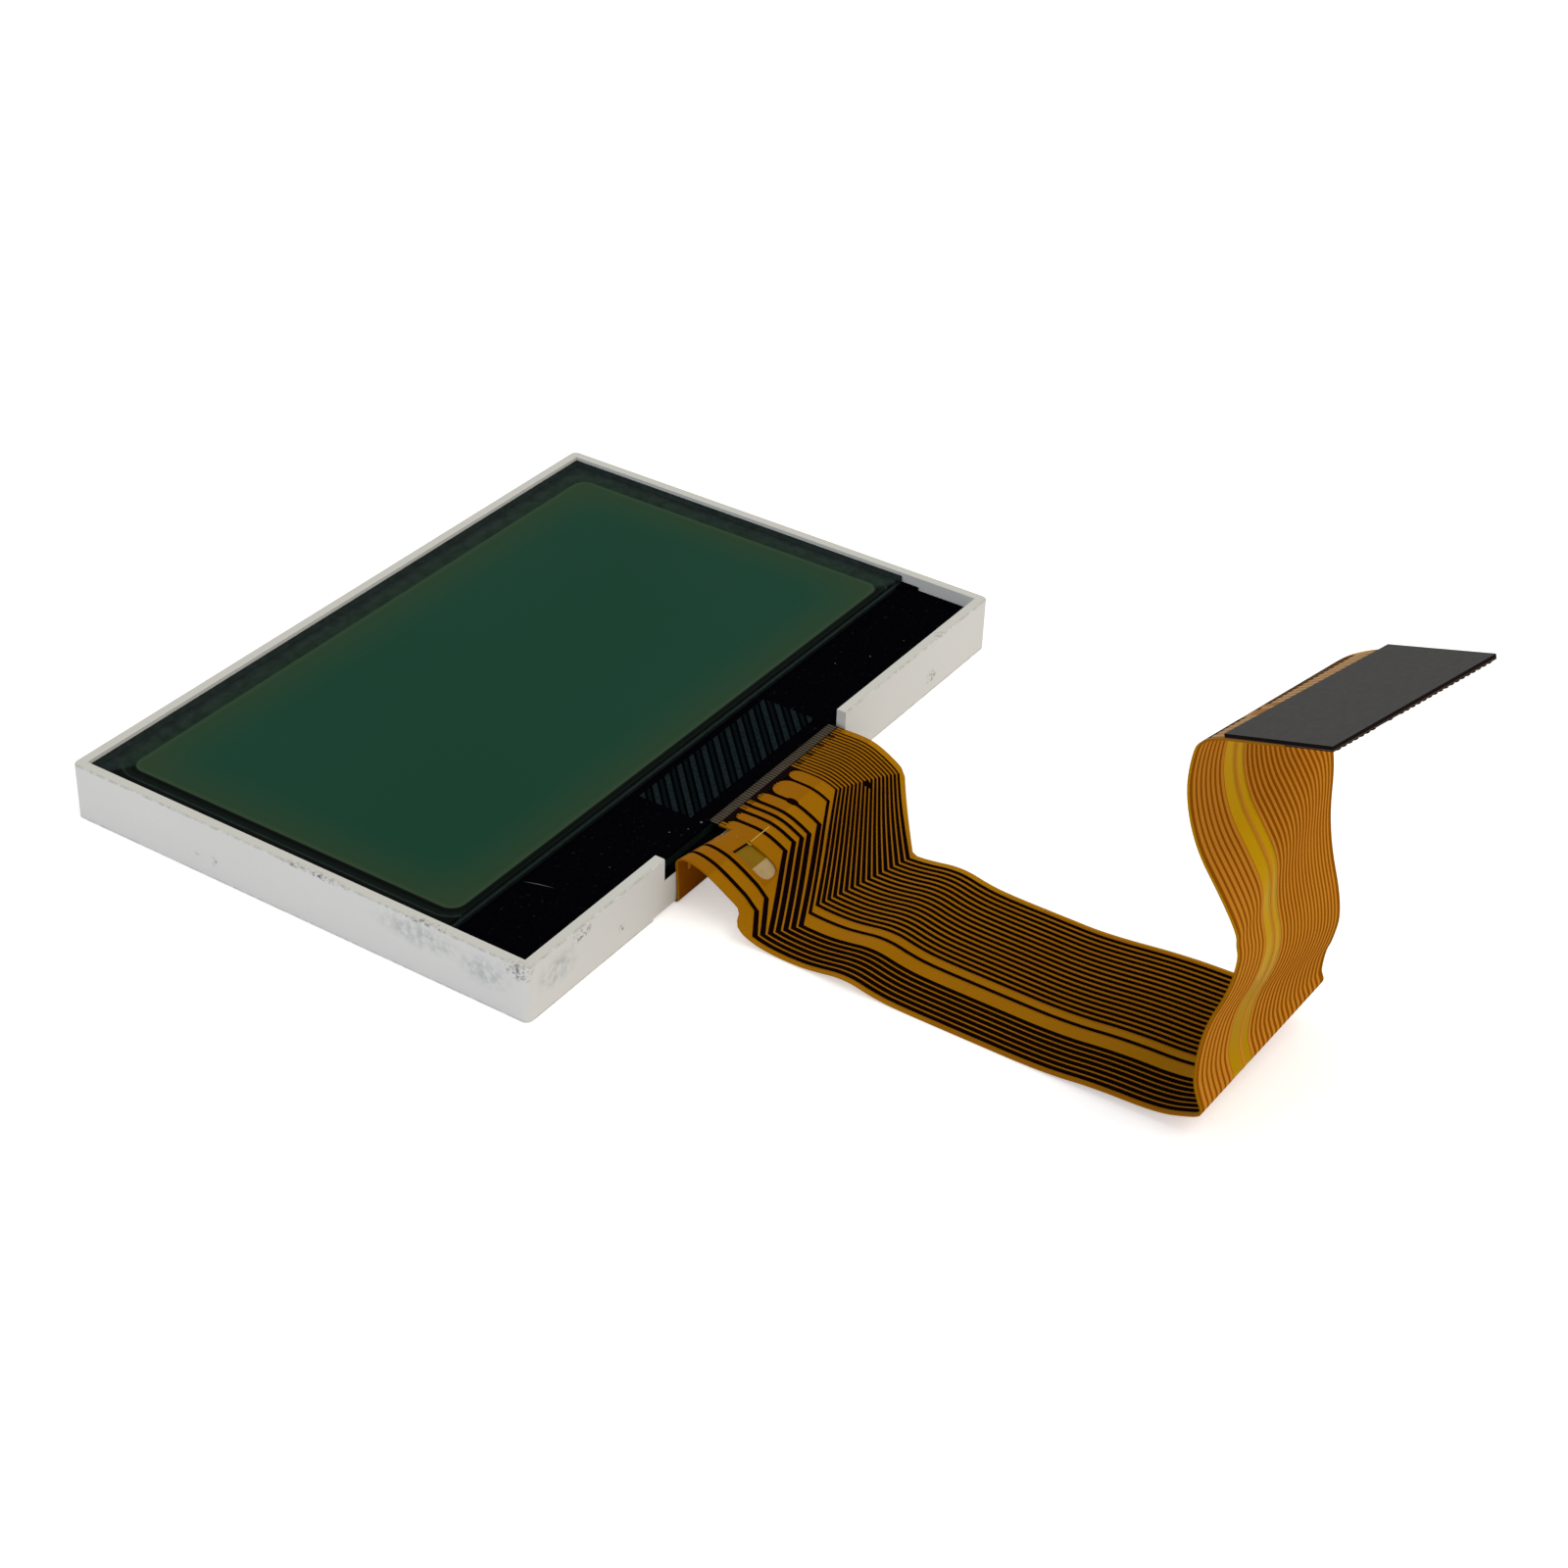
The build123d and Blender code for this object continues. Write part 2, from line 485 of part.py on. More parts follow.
pieces = {
    "backlight_frame": frame, "reflector_sheet": reflector, "light_guide": guide,
    "lower_diffuser": diffuser_low, "upper_diffuser": diffuser_high, "rear_polariser": pol_rear,
    "cell_tape": tape, "rear_glass": rear_glass, "perimeter_seal": seal,
    "liquid_crystal": crystal, "front_glass": front_glass, "front_polariser": pol_front,
    "fill_plug": plug, "driver_chip": chip, "ledge_coat": coat, "ledge_bars": bars,
    "bond_film": acf, "flex_base_film": base_film, "flex_copper": copper,
    "flex_coverlay": coverlay, "contact_plating": pads, "stiffener_adhesive": stiff_glue,
    "stiffener": stiffener, "lamp_board": board, "side_lamps": leds, "tab_solder": joints,
}
to_centre = Location((-FRAME_L / 2, -FRAME_W / 2, 0))
for name, shape in pieces.items():
    if isinstance(shape, list):
        shape = Compound(children=[s for s in shape])
    export_step(shape.moved(to_centre), "parts/" + name + ".step")
    print(name, len(shape.solids()), round(shape.volume, 4))
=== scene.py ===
import bmesh
import bpy
import math
import numpy as np
from mathutils import Matrix, Vector


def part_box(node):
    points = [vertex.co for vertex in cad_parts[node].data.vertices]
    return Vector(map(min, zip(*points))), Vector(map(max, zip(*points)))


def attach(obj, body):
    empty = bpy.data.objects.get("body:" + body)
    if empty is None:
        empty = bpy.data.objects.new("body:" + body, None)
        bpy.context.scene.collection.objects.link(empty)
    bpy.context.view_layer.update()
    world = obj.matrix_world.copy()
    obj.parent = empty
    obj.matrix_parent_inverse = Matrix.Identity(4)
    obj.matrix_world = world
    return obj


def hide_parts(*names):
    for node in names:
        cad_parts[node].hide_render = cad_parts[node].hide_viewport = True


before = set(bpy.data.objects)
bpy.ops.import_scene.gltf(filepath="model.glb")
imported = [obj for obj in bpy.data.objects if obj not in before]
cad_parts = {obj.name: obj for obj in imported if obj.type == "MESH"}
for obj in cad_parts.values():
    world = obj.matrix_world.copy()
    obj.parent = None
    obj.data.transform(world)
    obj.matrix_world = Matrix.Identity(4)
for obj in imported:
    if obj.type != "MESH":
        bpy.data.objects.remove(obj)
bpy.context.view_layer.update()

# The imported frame's own size, written down before anything is added. One millimetre in scene units.
mm = 0.001
frame_corner = Vector((-27.7, -19.0, 0.0))


# Camera: stands low in front of the left corner, as the photograph was taken, turned a little
# about its own axis. Angles in degrees, place in metres.
view_azimuth = -57.78
view_elevation = 34.08
view_roll = 2.364
view_place = Vector((-0.14047, -0.10787, 0.1152))
camera = bpy.data.objects.new("camera", bpy.data.cameras.new("camera"))
bpy.context.scene.collection.objects.link(camera)
turn = math.radians(view_azimuth)
rise = math.radians(view_elevation)
towards_lens = Vector((math.sin(turn) * math.cos(rise), -math.cos(turn) * math.cos(rise), math.sin(rise)))
looking = (-towards_lens).to_track_quat("-Z", "Y").to_matrix().to_4x4()
camera.matrix_world = Matrix.Translation(view_place) @ looking @ Matrix.Rotation(math.radians(view_roll),
                                                                                 4, "Z")
camera.data.sensor_width = 36
camera.data.lens = 68.41
camera.data.clip_start = 0.01
bpy.context.scene.camera = camera
bpy.context.scene.view_settings.view_transform = "Standard"


# Shader helpers: an sRGB hex colour turned to linear light, a fresh material, and one function
# that adds any node with its settings and its sockets, whether given as values or as links.
def colour(code):
    channels = [int(code[i:i + 2], 16) / 255 for i in (1, 3, 5)]
    return [c / 12.92 if c < 0.04045 else ((c + 0.055) / 1.055) ** 2.4 for c in channels] + [1.0]


def new_material(name):
    material = bpy.data.materials.new(name)
    material.use_nodes = True
    material.node_tree.nodes.clear()
    return material, material.node_tree


def add(tree, kind, sockets=None, **settings):
    node = tree.nodes.new(kind)
    for key, value in settings.items():
        setattr(node, key, value)
    for key, value in (sockets or {}).items():
        if isinstance(value, bpy.types.NodeSocket):
            tree.links.new(value, node.inputs[key])
        else:
            node.inputs[key].default_value = value
    return node


def dress(node_name, material):
    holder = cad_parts[node_name]
    if not holder.material_slots:
        holder.data.materials.append(material)
    for place in holder.material_slots:
        place.material = material


# World: even soft light from all round. What the camera, glossy and clear surfaces see of it is
# plain white, so that the ground runs into a white distance.
world = bpy.data.worlds.new("soft_white_room")
bpy.context.scene.world = world
world.use_nodes = True
tree = world.node_tree
tree.nodes.clear()
path = add(tree, "ShaderNodeLightPath")
seen = add(tree, "ShaderNodeMath", {0: path.outputs["Is Camera Ray"], 1: path.outputs["Is Glossy Ray"]},
           operation="MAXIMUM")
seen = add(tree, "ShaderNodeMath", {0: seen.outputs[0], 1: path.outputs["Is Transmission Ray"]},
           operation="MAXIMUM")
lighting = add(tree, "ShaderNodeBackground", {"Color": colour("#F8F9FA"), "Strength": 0.62})
backdrop = add(tree, "ShaderNodeBackground", {"Color": colour("#FFFFFF"), "Strength": 1.0})
mixed = add(tree, "ShaderNodeMixShader",
            {0: seen.outputs[0], 1: lighting.outputs[0], 2: backdrop.outputs[0]})
add(tree, "ShaderNodeOutputWorld", {"Surface": mixed.outputs[0]})


# Lamps: a wide soft panel high behind the camera's right shoulder gives the front wall its slightly
# warmer side, and a weak cool one at the left lights the long left wall.
for name, wide, high, energy, tone, place in (
        ("key_lamp", 0.7, 0.5, 1.9, "#FFF0DC", (0.15, -0.35, 0.62)),
        ("side_lamp", 0.5, 0.4, 0.5, "#DCE8FF", (-0.55, 0.1, 0.25))):
    lamp = bpy.data.objects.new(name, bpy.data.lights.new(name, "AREA"))
    bpy.context.scene.collection.objects.link(lamp)
    lamp.data.shape = "RECTANGLE"
    lamp.data.size = wide
    lamp.data.size_y = high
    lamp.data.energy = energy
    lamp.data.color = colour(tone)[:3]
    lamp.location = Vector(place)
    lamp.rotation_euler = (-lamp.location).to_track_quat("-Z", "Y").to_euler()


# Ground: plain white sheet under the module, which keeps the soft contact shadow. A little light of
# its own brings it up to white for the camera.
ground_mesh = bpy.data.meshes.new("ground")
reach = 3.0
ground_mesh.from_pydata([(-reach, -reach, 0), (reach, -reach, 0), (reach, reach, 0), (-reach, reach, 0)],
                        [], [(0, 1, 2, 3)])
ground = bpy.data.objects.new("ground", ground_mesh)
ground.location.z = -0.02 * mm
bpy.context.scene.collection.objects.link(ground)
paper, tree = new_material("white_paper_ground")
sheet = add(tree, "ShaderNodeBsdfDiffuse", {"Color": colour("#FAFAFA")})
path = add(tree, "ShaderNodeLightPath")
direct = add(tree, "ShaderNodeMath", {0: path.outputs["Is Camera Ray"],
             1: path.outputs["Is Transmission Ray"]}, operation="MAXIMUM")
extra = add(tree, "ShaderNodeMath", {0: direct.outputs[0], 1: 0.4}, operation="MULTIPLY")
white = add(tree, "ShaderNodeEmission", {"Color": colour("#FFFFFF"), "Strength": extra.outputs[0]})
surface = add(tree, "ShaderNodeAddShader", {0: sheet.outputs[0], 1: white.outputs[0]})
add(tree, "ShaderNodeOutputMaterial", {"Surface": surface.outputs[0]})
ground_mesh.materials.append(paper)


# Backlight frame: moulded white polycarbonate tub with a fine matt skin. Faint yellowing and grey finger
# marks show on the walls. The faces that look up are painted a duller grey as painted shade, and a rough
# darker line along the outer top edges and the foot is partly scuffs and partly painted shade.
plastic, tree = new_material("white_polycarbonate_fine_matt")
place = add(tree, "ShaderNodeTexCoord").outputs["Object"]
clouds = add(tree, "ShaderNodeTexNoise", {"Vector": place, "Scale": 1 / (9 * mm), "Detail": 3.0})
tint = add(tree, "ShaderNodeMix", {0: clouds.outputs[0], 6: colour("#DCDDDB"), 7: colour("#E4E3DE")},
           data_type="RGBA")
specks = add(tree, "ShaderNodeTexNoise",
             {"Vector": place, "Scale": 1 / (0.5 * mm), "Detail": 6.0, "Roughness": 0.7})
speck_mask = add(tree, "ShaderNodeMapRange",
                 {"Value": specks.outputs[0], "From Min": 0.71, "From Max": 0.76})
patches = add(tree, "ShaderNodeTexNoise", {"Vector": place, "Scale": 1 / (7 * mm), "Detail": 2.0})
patch_mask = add(tree, "ShaderNodeMapRange",
                 {"Value": patches.outputs[0], "From Min": 0.52, "From Max": 0.66})
dirt = add(tree, "ShaderNodeMath", {0: speck_mask.outputs[0], 1: patch_mask.outputs[0]},
           operation="MULTIPLY")
dirt_and_shade_colour = add(tree, "ShaderNodeMix", {0: dirt.outputs[0], 6: tint.outputs[2], 7: colour("#6E6E70")},
            data_type="RGBA")
# Painted shade: faces that look up are painted a duller grey than the walls.
upness = add(tree, "ShaderNodeSeparateXYZ", {0: add(tree, "ShaderNodeNewGeometry").outputs["Normal"]})
top_shade_mask = add(tree, "ShaderNodeMapRange", {"Value": upness.outputs[2], "From Min": 0.6, "From Max": 0.95})
shade_and_wear = add(tree, "ShaderNodeMix", {0: top_shade_mask.outputs[0], 6: dirt_and_shade_colour.outputs[2], 7: colour("#CDCEC7")},
              data_type="RGBA")
# Painted shade and wear: a rough darker line along the outer top edges and along the foot of the walls.
reached = add(tree, "ShaderNodeVectorMath", {0: place}, operation="ABSOLUTE")
over = add(tree, "ShaderNodeVectorMath", {0: reached.outputs[0], 1: (27.56 * mm, 18.86 * mm, 4.06 * mm)},
           operation="SUBTRACT")
over = add(tree, "ShaderNodeSeparateXYZ", {0: over.outputs[0]})
outer = add(tree, "ShaderNodeMath", {0: over.outputs[0], 1: over.outputs[1]}, operation="MAXIMUM")
corner_line = add(tree, "ShaderNodeMath", {0: outer.outputs[0], 1: over.outputs[2]}, operation="MINIMUM")
corner_mask = add(tree, "ShaderNodeMapRange",
                  {"Value": corner_line.outputs[0], "From Min": 0.0, "From Max": 0.05 * mm, "To Max": 0.5})
foot_mask = add(tree, "ShaderNodeMapRange",
                {"Value": over.outputs[2], "From Min": -3.88 * mm, "From Max": -4.05 * mm, "To Max": 0.55})
edge_shade_and_wear_mask = add(tree, "ShaderNodeMath", {0: corner_mask.outputs[0], 1: foot_mask.outputs[0]},
                operation="MAXIMUM")
rough_line = add(tree, "ShaderNodeTexNoise",
                 {"Vector": place, "Scale": 1 / (0.6 * mm), "Detail": 5.0, "Roughness": 0.7})
rough_mask = add(tree, "ShaderNodeMapRange",
                 {"Value": rough_line.outputs[0], "From Min": 0.4, "From Max": 0.6})
edge_shade_and_wear_mask = add(tree, "ShaderNodeMath", {0: edge_shade_and_wear_mask.outputs[0], 1: rough_mask.outputs[0]},
                operation="MULTIPLY")
shade_and_wear = add(tree, "ShaderNodeMix",
              {0: edge_shade_and_wear_mask.outputs[0], 6: shade_and_wear.outputs[2], 7: colour("#96968F")}, data_type="RGBA")


def smudges(places):
    """Soft patches of wear: middle and half size of each, in mm from the frame's front left corner"""
    found = None
    for x, y, z, across_x, along_y, high_z in places:
        offset = add(tree, "ShaderNodeVectorMath", {0: place, 1: (Vector((x, y, z)) + frame_corner) * mm},
                     operation="SUBTRACT")
        scaled = add(tree, "ShaderNodeVectorMath", {0: offset.outputs[0],
                     1: (1 / (across_x * mm), 1 / (along_y * mm), 1 / (high_z * mm))},
                     operation="MULTIPLY")
        gone = add(tree, "ShaderNodeVectorMath", {0: scaled.outputs[0]}, operation="LENGTH")
        soft = add(tree, "ShaderNodeMapRange",
                   {"Value": gone.outputs["Value"], "From Min": 1.0, "From Max": 0.3})
        found = soft if found is None else add(tree, "ShaderNodeMath",
                                               {0: found.outputs[0], 1: soft.outputs[0]},
                                               operation="MAXIMUM")
    return found.outputs[0]


stained = smudges([(0, 8.5, 3.1, 1, 4.2, 1.2), (0, 3.4, 2.6, 1, 2.4, 1.4), (3, 0, 2.4, 2.5, 1, 1.4)])
stained = add(tree, "ShaderNodeMath", {0: stained, 1: rough_mask.outputs[0]}, operation="MULTIPLY")
shade_and_wear = add(tree, "ShaderNodeMix", {0: stained.outputs[0], 6: shade_and_wear.outputs[2], 7: colour("#BEC2C1")},
              data_type="RGBA")
scuffed = smudges([(0, 0.8, 3.7, 1, 1.5, 0.8), (0, 17, 4.1, 0.6, 3.6, 0.22), (0, 8, 4.15, 0.6, 2.4, 0.2),
                   (9.6, 0, 1.5, 0.5, 1, 0.4), (47.6, 0, 1.3, 0.8, 1, 0.7), (48.7, 0, 4.2, 0.6, 0.8, 0.4),
                   (0, 27.1, 1.5, 1, 0.2, 0.2), (0, 25.6, 1.5, 1, 0.3, 0.55), (5.5, 0, 3.6, 1.2, 1, 0.6)])
fine_grit = add(tree, "ShaderNodeTexNoise",
                {"Vector": place, "Scale": 1 / (0.3 * mm), "Detail": 5.0, "Roughness": 0.75})
grit_mask = add(tree, "ShaderNodeMapRange",
                {"Value": fine_grit.outputs[0], "From Min": 0.5, "From Max": 0.6})
scuffed = add(tree, "ShaderNodeMath", {0: scuffed, 1: grit_mask.outputs[0]}, operation="MULTIPLY")
dirt_and_shade_colour = add(tree, "ShaderNodeMix", {0: scuffed.outputs[0], 6: shade_and_wear.outputs[2], 7: colour("#6C6D6E")},
            data_type="RGBA")
grain = add(tree, "ShaderNodeTexNoise", {"Vector": place, "Scale": 1 / (0.12 * mm), "Detail": 2.0})
skin = add(tree, "ShaderNodeBump", {"Height": grain.outputs[0], "Strength": 0.12, "Distance": 0.02 * mm})
surface = add(tree, "ShaderNodeBsdfPrincipled", {"Base Color": dirt_and_shade_colour.outputs[2], "Roughness": 0.5,
              "Specular IOR Level": 0.3, "Subsurface Weight": 0.0, "Normal": skin.outputs[0]})
add(tree, "ShaderNodeOutputMaterial", {"Surface": surface.outputs[0]})
dress("backlight_frame", plastic)


# Front polariser: satin dark green film over the cell. Towards its edges the green is painted lighter and
# olive, a painted glow, and the black border print shows through it round the viewing area, with a painted
# highlight line in the print on the near sides and a painted grey reflection over it on the far sides.
satin, tree = new_material("satin_green_polariser")
low, high = [Vector(corner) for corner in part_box("liquid_crystal")]
low -= Vector((0.13, 0.25, 0)) * mm
middle = (low + high) / 2
half = (high - low) / 2
place = add(tree, "ShaderNodeTexCoord").outputs["Object"]
centred = add(tree, "ShaderNodeVectorMath", {0: place, 1: (middle.x, middle.y, 0)}, operation="SUBTRACT")
folded = add(tree, "ShaderNodeVectorMath", {0: centred.outputs[0]}, operation="ABSOLUTE")


def distance_outside(radius):
    """How far a point lies outside the viewing area shrunk by a radius: its round cornered outline."""
    inner = add(tree, "ShaderNodeVectorMath",
                {0: folded.outputs[0], 1: (half.x - radius, half.y - radius, 1)},
                operation="SUBTRACT")
    kept = add(tree, "ShaderNodeVectorMath", {0: inner.outputs[0], 1: (0, 0, 0)}, operation="MAXIMUM")
    return add(tree, "ShaderNodeVectorMath", {0: kept.outputs[0]}, operation="LENGTH").outputs["Value"]


def ramp(value, stops):
    """Colour along a value, through stops of place and colour."""
    node = add(tree, "ShaderNodeValToRGB", {0: value})
    band = node.color_ramp
    band.elements.remove(band.elements[1])
    band.elements[0].position = stops[0][0]
    band.elements[0].color = colour(stops[0][1])
    for position, code in stops[1:]:
        band.elements.new(position).color = colour(code)
    return node.outputs[0]


outside = distance_outside(1.0 * mm)
border = add(tree, "ShaderNodeMapRange", {"Value": outside, "From Min": 0.98 * mm, "From Max": 1.08 * mm})
away = add(tree, "ShaderNodeMapRange",
           {"Value": outside, "From Min": 1.0 * mm, "From Max": 2.6 * mm}).outputs[0]
# Black border print; the light stop at 0.56 is a painted highlight of the glass edge catching the lamp.
near_border_with_painted_highlight = ramp(away, [(0, "#16281C"), (0.1, "#050B07"), (0.2, "#020403"), (0.32, "#0A1510"),
                   (0.5, "#0E1A15"),
                          (0.56, "#2C3633"), (0.62, "#0C1210"), (0.72, "#040706")])
# Painted reflection: on the far sides the black border print is painted a lighter grey, as light reflected
# off it.
far_border_with_painted_reflection = ramp(away, [(0, "#20362A"), (0.2, "#1F3228"), (0.36, "#25332C"), (0.6, "#28352F"),
                  (0.85, "#242F2E")])
sideways = add(tree, "ShaderNodeVectorMath", {0: centred.outputs[0], 1: (1 / half.x, 1 / half.y, 0)},
               operation="DOT_PRODUCT")
far_side_mask = add(tree, "ShaderNodeMapRange",
                    {"Value": sideways.outputs["Value"], "From Min": -0.02, "From Max": 0.02})
# Painted glow: the green turns lighter and olive towards the edges of the viewing area.
glow = add(tree, "ShaderNodeMapRange",
           {"Value": distance_outside(5.0 * mm), "From Min": 0.5 * mm, "From Max": 6.5 * mm},
           interpolation_type="SMOOTHSTEP")
wide = add(tree, "ShaderNodeTexNoise", {"Vector": place, "Scale": 1 / (22 * mm), "Detail": 1.0})
green = add(tree, "ShaderNodeMix", {0: wide.outputs[0], 6: colour("#17402F"), 7: colour("#1E4536")},
            data_type="RGBA")
green = add(tree, "ShaderNodeMix", {0: glow.outputs[0], 6: green.outputs[2], 7: colour("#2E432E")},
            data_type="RGBA")
# Painted glow: a lighter rim just inside the edge of the viewing area.
rim_glow = add(tree, "ShaderNodeMapRange",
               {"Value": outside, "From Min": 0.6 * mm, "From Max": 0.98 * mm, "To Max": 0.5})
green = add(tree, "ShaderNodeMix", {0: rim_glow.outputs[0], 6: green.outputs[2], 7: colour("#3C4E3A")},
            data_type="RGBA")
mottle = add(tree, "ShaderNodeTexNoise",
             {"Vector": place, "Scale": 1 / (0.8 * mm), "Detail": 5.0, "Roughness": 0.6})
mottle_mask = add(tree, "ShaderNodeMapRange",
                  {"Value": mottle.outputs[0], "From Min": 0.4, "From Max": 0.75, "To Max": 0.6})
dark = add(tree, "ShaderNodeMix", {0: far_side_mask.outputs[0], 6: near_border_with_painted_highlight, 7: far_border_with_painted_reflection},
           data_type="RGBA")
dark = add(tree, "ShaderNodeMix", {0: mottle_mask.outputs[0], 6: dark.outputs[2], 7: colour("#0A0F0D")},
           data_type="RGBA")
shade = add(tree, "ShaderNodeMix", {0: border.outputs[0], 6: green.outputs[2], 7: dark.outputs[2]},
            data_type="RGBA")
satin_grain = add(tree, "ShaderNodeTexNoise", {"Vector": place, "Scale": 1 / (0.06 * mm), "Detail": 1.0})
satin_bump = add(tree, "ShaderNodeBump",
                 {"Height": satin_grain.outputs[0], "Strength": 0.08, "Distance": 0.01 * mm})
surface = add(tree, "ShaderNodeBsdfPrincipled", {"Base Color": shade.outputs[2], "Roughness": 0.42,
              "Specular IOR Level": 0.01, "Normal": satin_bump.outputs[0]})
add(tree, "ShaderNodeOutputMaterial", {"Surface": surface.outputs[0]})
dress("front_polariser", satin)


# Front and rear glass: clear float glass. Under the polariser it reads as a dark green grey rim. The one
# light line where the ground edge catches the lamp is a painted highlight, drawn in the polariser's near
# border.
pane, tree = new_material("cut_float_glass_dark_edge")
place = add(tree, "ShaderNodeTexCoord").outputs["Object"]
chips = add(tree, "ShaderNodeTexNoise", {"Vector": place, "Scale": 1 / (0.35 * mm), "Detail": 5.0})
edge = add(tree, "ShaderNodeMix", {0: chips.outputs[0], 6: colour("#0A1010"), 7: colour("#1E2A28")},
           data_type="RGBA")
ground_bump = add(tree, "ShaderNodeBump",
                  {"Height": chips.outputs[0], "Strength": 0.3, "Distance": 0.02 * mm})
surface = add(tree, "ShaderNodeBsdfPrincipled", {"Base Color": edge.outputs[2], "Roughness": 0.25,
              "Specular IOR Level": 0.03, "Normal": ground_bump.outputs[0]})
add(tree, "ShaderNodeOutputMaterial", {"Surface": surface.outputs[0]})
dress("front_glass", pane)
dress("rear_glass", pane)


# Ledge coat: black coat poured over the contact ledge, smooth and almost without shine, with a
# little dust in it.
black, tree = new_material("black_ledge_coat")
place = add(tree, "ShaderNodeTexCoord").outputs["Object"]
dust = add(tree, "ShaderNodeTexNoise",
           {"Vector": place, "Scale": 1 / (0.3 * mm), "Detail": 6.0, "Roughness": 0.7})
dust_mask = add(tree, "ShaderNodeMapRange", {"Value": dust.outputs[0], "From Min": 0.6, "From Max": 0.8})
shade = add(tree, "ShaderNodeMix", {0: dust_mask.outputs[0], 6: colour("#040407"), 7: colour("#2A2C32")},
            data_type="RGBA")
surface = add(tree, "ShaderNodeBsdfPrincipled", {"Base Color": shade.outputs[2], "Roughness": 0.3,
              "Specular IOR Level": 0.0})
add(tree, "ShaderNodeOutputMaterial", {"Surface": surface.outputs[0]})
dress("ledge_coat", black)
dress("perimeter_seal", black)
dress("cell_tape", black)


def build(name, islands, finish):
    """Closed solids, each through rings of points in mm from the frame's front left corner."""
    shape = bmesh.new()
    for rings in islands:
        loops = [[shape.verts.new((Vector(p) + frame_corner) * mm) for p in ring] for ring in rings]
        for a, b in zip(loops, loops[1:]):
            for k in range(len(a)):
                shape.faces.new((a[k - 1], a[k], b[k], b[k - 1]))
        shape.faces.new(loops[0])
        shape.faces.new(loops[-1])
    bmesh.ops.recalc_face_normals(shape, faces=shape.faces)
    mesh = bpy.data.meshes.new(name)
    shape.to_mesh(mesh)
    shape.free()
    mesh.materials.append(finish)
    piece = bpy.data.objects.new(name, mesh)
    bpy.context.scene.collection.objects.link(piece)
    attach(piece, "root")
    return piece


def plate(outline, low_z, high_z):
    return [[(x, y, low_z) for x, y in outline], [(x, y, high_z) for x, y in outline]]


# Sealant run: dark compound in the gap between cell and frame, drawn up the wall, and a thin black sheet
# laid over the floor of the notch. A light line shows where the ledge is scratched, with dust beside it.
sealant, tree = new_material("dark_mottled_sealant")
place = add(tree, "ShaderNodeTexCoord").outputs["Object"]
lumps = add(tree, "ShaderNodeTexNoise", {"Vector": place, "Scale": 1 / (0.6 * mm), "Detail": 5.0})
shade = add(tree, "ShaderNodeMix", {0: lumps.outputs[0], 6: colour("#121A18"), 7: colour("#2E3836")},
            data_type="RGBA")
surface = add(tree, "ShaderNodeBsdfPrincipled", {"Base Color": shade.outputs[2], "Roughness": 0.6,
              "Specular IOR Level": 0.0})
add(tree, "ShaderNodeOutputMaterial", {"Surface": surface.outputs[0]})
walls = [((0.76, 7.0), (1.14, 7.0)), ((0.76, 37.24), (1.14, 36.86)), ((54.64, 37.24), (54.26, 36.86)),
         ((54.64, 7.0), (54.26, 7.0))]
run_of_seal = [[(*a, 3.53), (*a, 3.93), (*b, 3.7), (*b, 3.53)] for a, b in walls]
build("cell_edge_sealant", [run_of_seal], sealant)
build("notch_floor_tape", [plate([(14.4, 0.1), (35.85, 0.1), (35.85, 0.84), (14.4, 0.84)], 2.401, 2.42)],
      black)
light_dust, tree = new_material("light_dust")
surface = add(tree, "ShaderNodeBsdfDiffuse", {"Color": colour("#6A6C6C")})
add(tree, "ShaderNodeOutputMaterial", {"Surface": surface.outputs[0]})
scratch = [(8.13, 6.6), (8.42, 5.7), (8.72, 4.6), (8.47, 5.7)]
grains = [plate(scratch, 3.25, 3.256)]
for x, y, r in ((20.24, 1.26, 0.12), (19.11, 1.52, 0.06), (18.07, 2.29, 0.07), (12.6, 3.1, 0.05),
                (44.5, 3.4, 0.07),
                (42.2, 4.9, 0.06), (47.8, 2.6, 0.05)):
    grains.append(plate([(x + r, y), (x, y + 0.7 * r), (x - 0.8 * r, y), (x, y - r)], 3.25, 3.26))
build("ledge_dust", grains, light_dust)


# Ledge bars: a field of slanted stripes in dark grey print on the coat, a strong one and a weak one
# by turns, mottled like worn ink with soft edges.
ink, tree = new_material("dark_grey_screen_print")
place = add(tree, "ShaderNodeTexCoord").outputs["Object"]
bar_step = 1.43
along = add(tree, "ShaderNodeVectorMath", {0: place, 1: (1 / (bar_step * mm), -1.07 / (bar_step * mm), 0)},
            operation="DOT_PRODUCT")
turns = add(tree, "ShaderNodeMath", {0: along.outputs["Value"], 1: 2 * math.pi, 2: -6.531 * 2 * math.pi},
            operation="MULTIPLY_ADD")
swing = add(tree, "ShaderNodeMath", {0: turns.outputs[0]}, operation="COSINE")
strong = add(tree, "ShaderNodeMapRange", {"Value": swing.outputs[0], "From Min": 0.2, "From Max": 0.6})
weak = add(tree, "ShaderNodeMapRange",
           {"Value": swing.outputs[0], "From Min": -0.5, "From Max": -0.9, "To Max": 0.35})
either = add(tree, "ShaderNodeMath", {0: strong.outputs[0], 1: weak.outputs[0]}, operation="MAXIMUM")
worn = add(tree, "ShaderNodeTexNoise",
           {"Vector": place, "Scale": 1 / (0.22 * mm), "Detail": 4.0, "Roughness": 0.7})
worn_mask = add(tree, "ShaderNodeMapRange",
                {"Value": worn.outputs[0], "From Min": 0.3, "From Max": 0.6, "To Min": 0.3})
print_mask = add(tree, "ShaderNodeMath", {0: either.outputs[0], 1: worn_mask.outputs[0]},
                 operation="MULTIPLY")
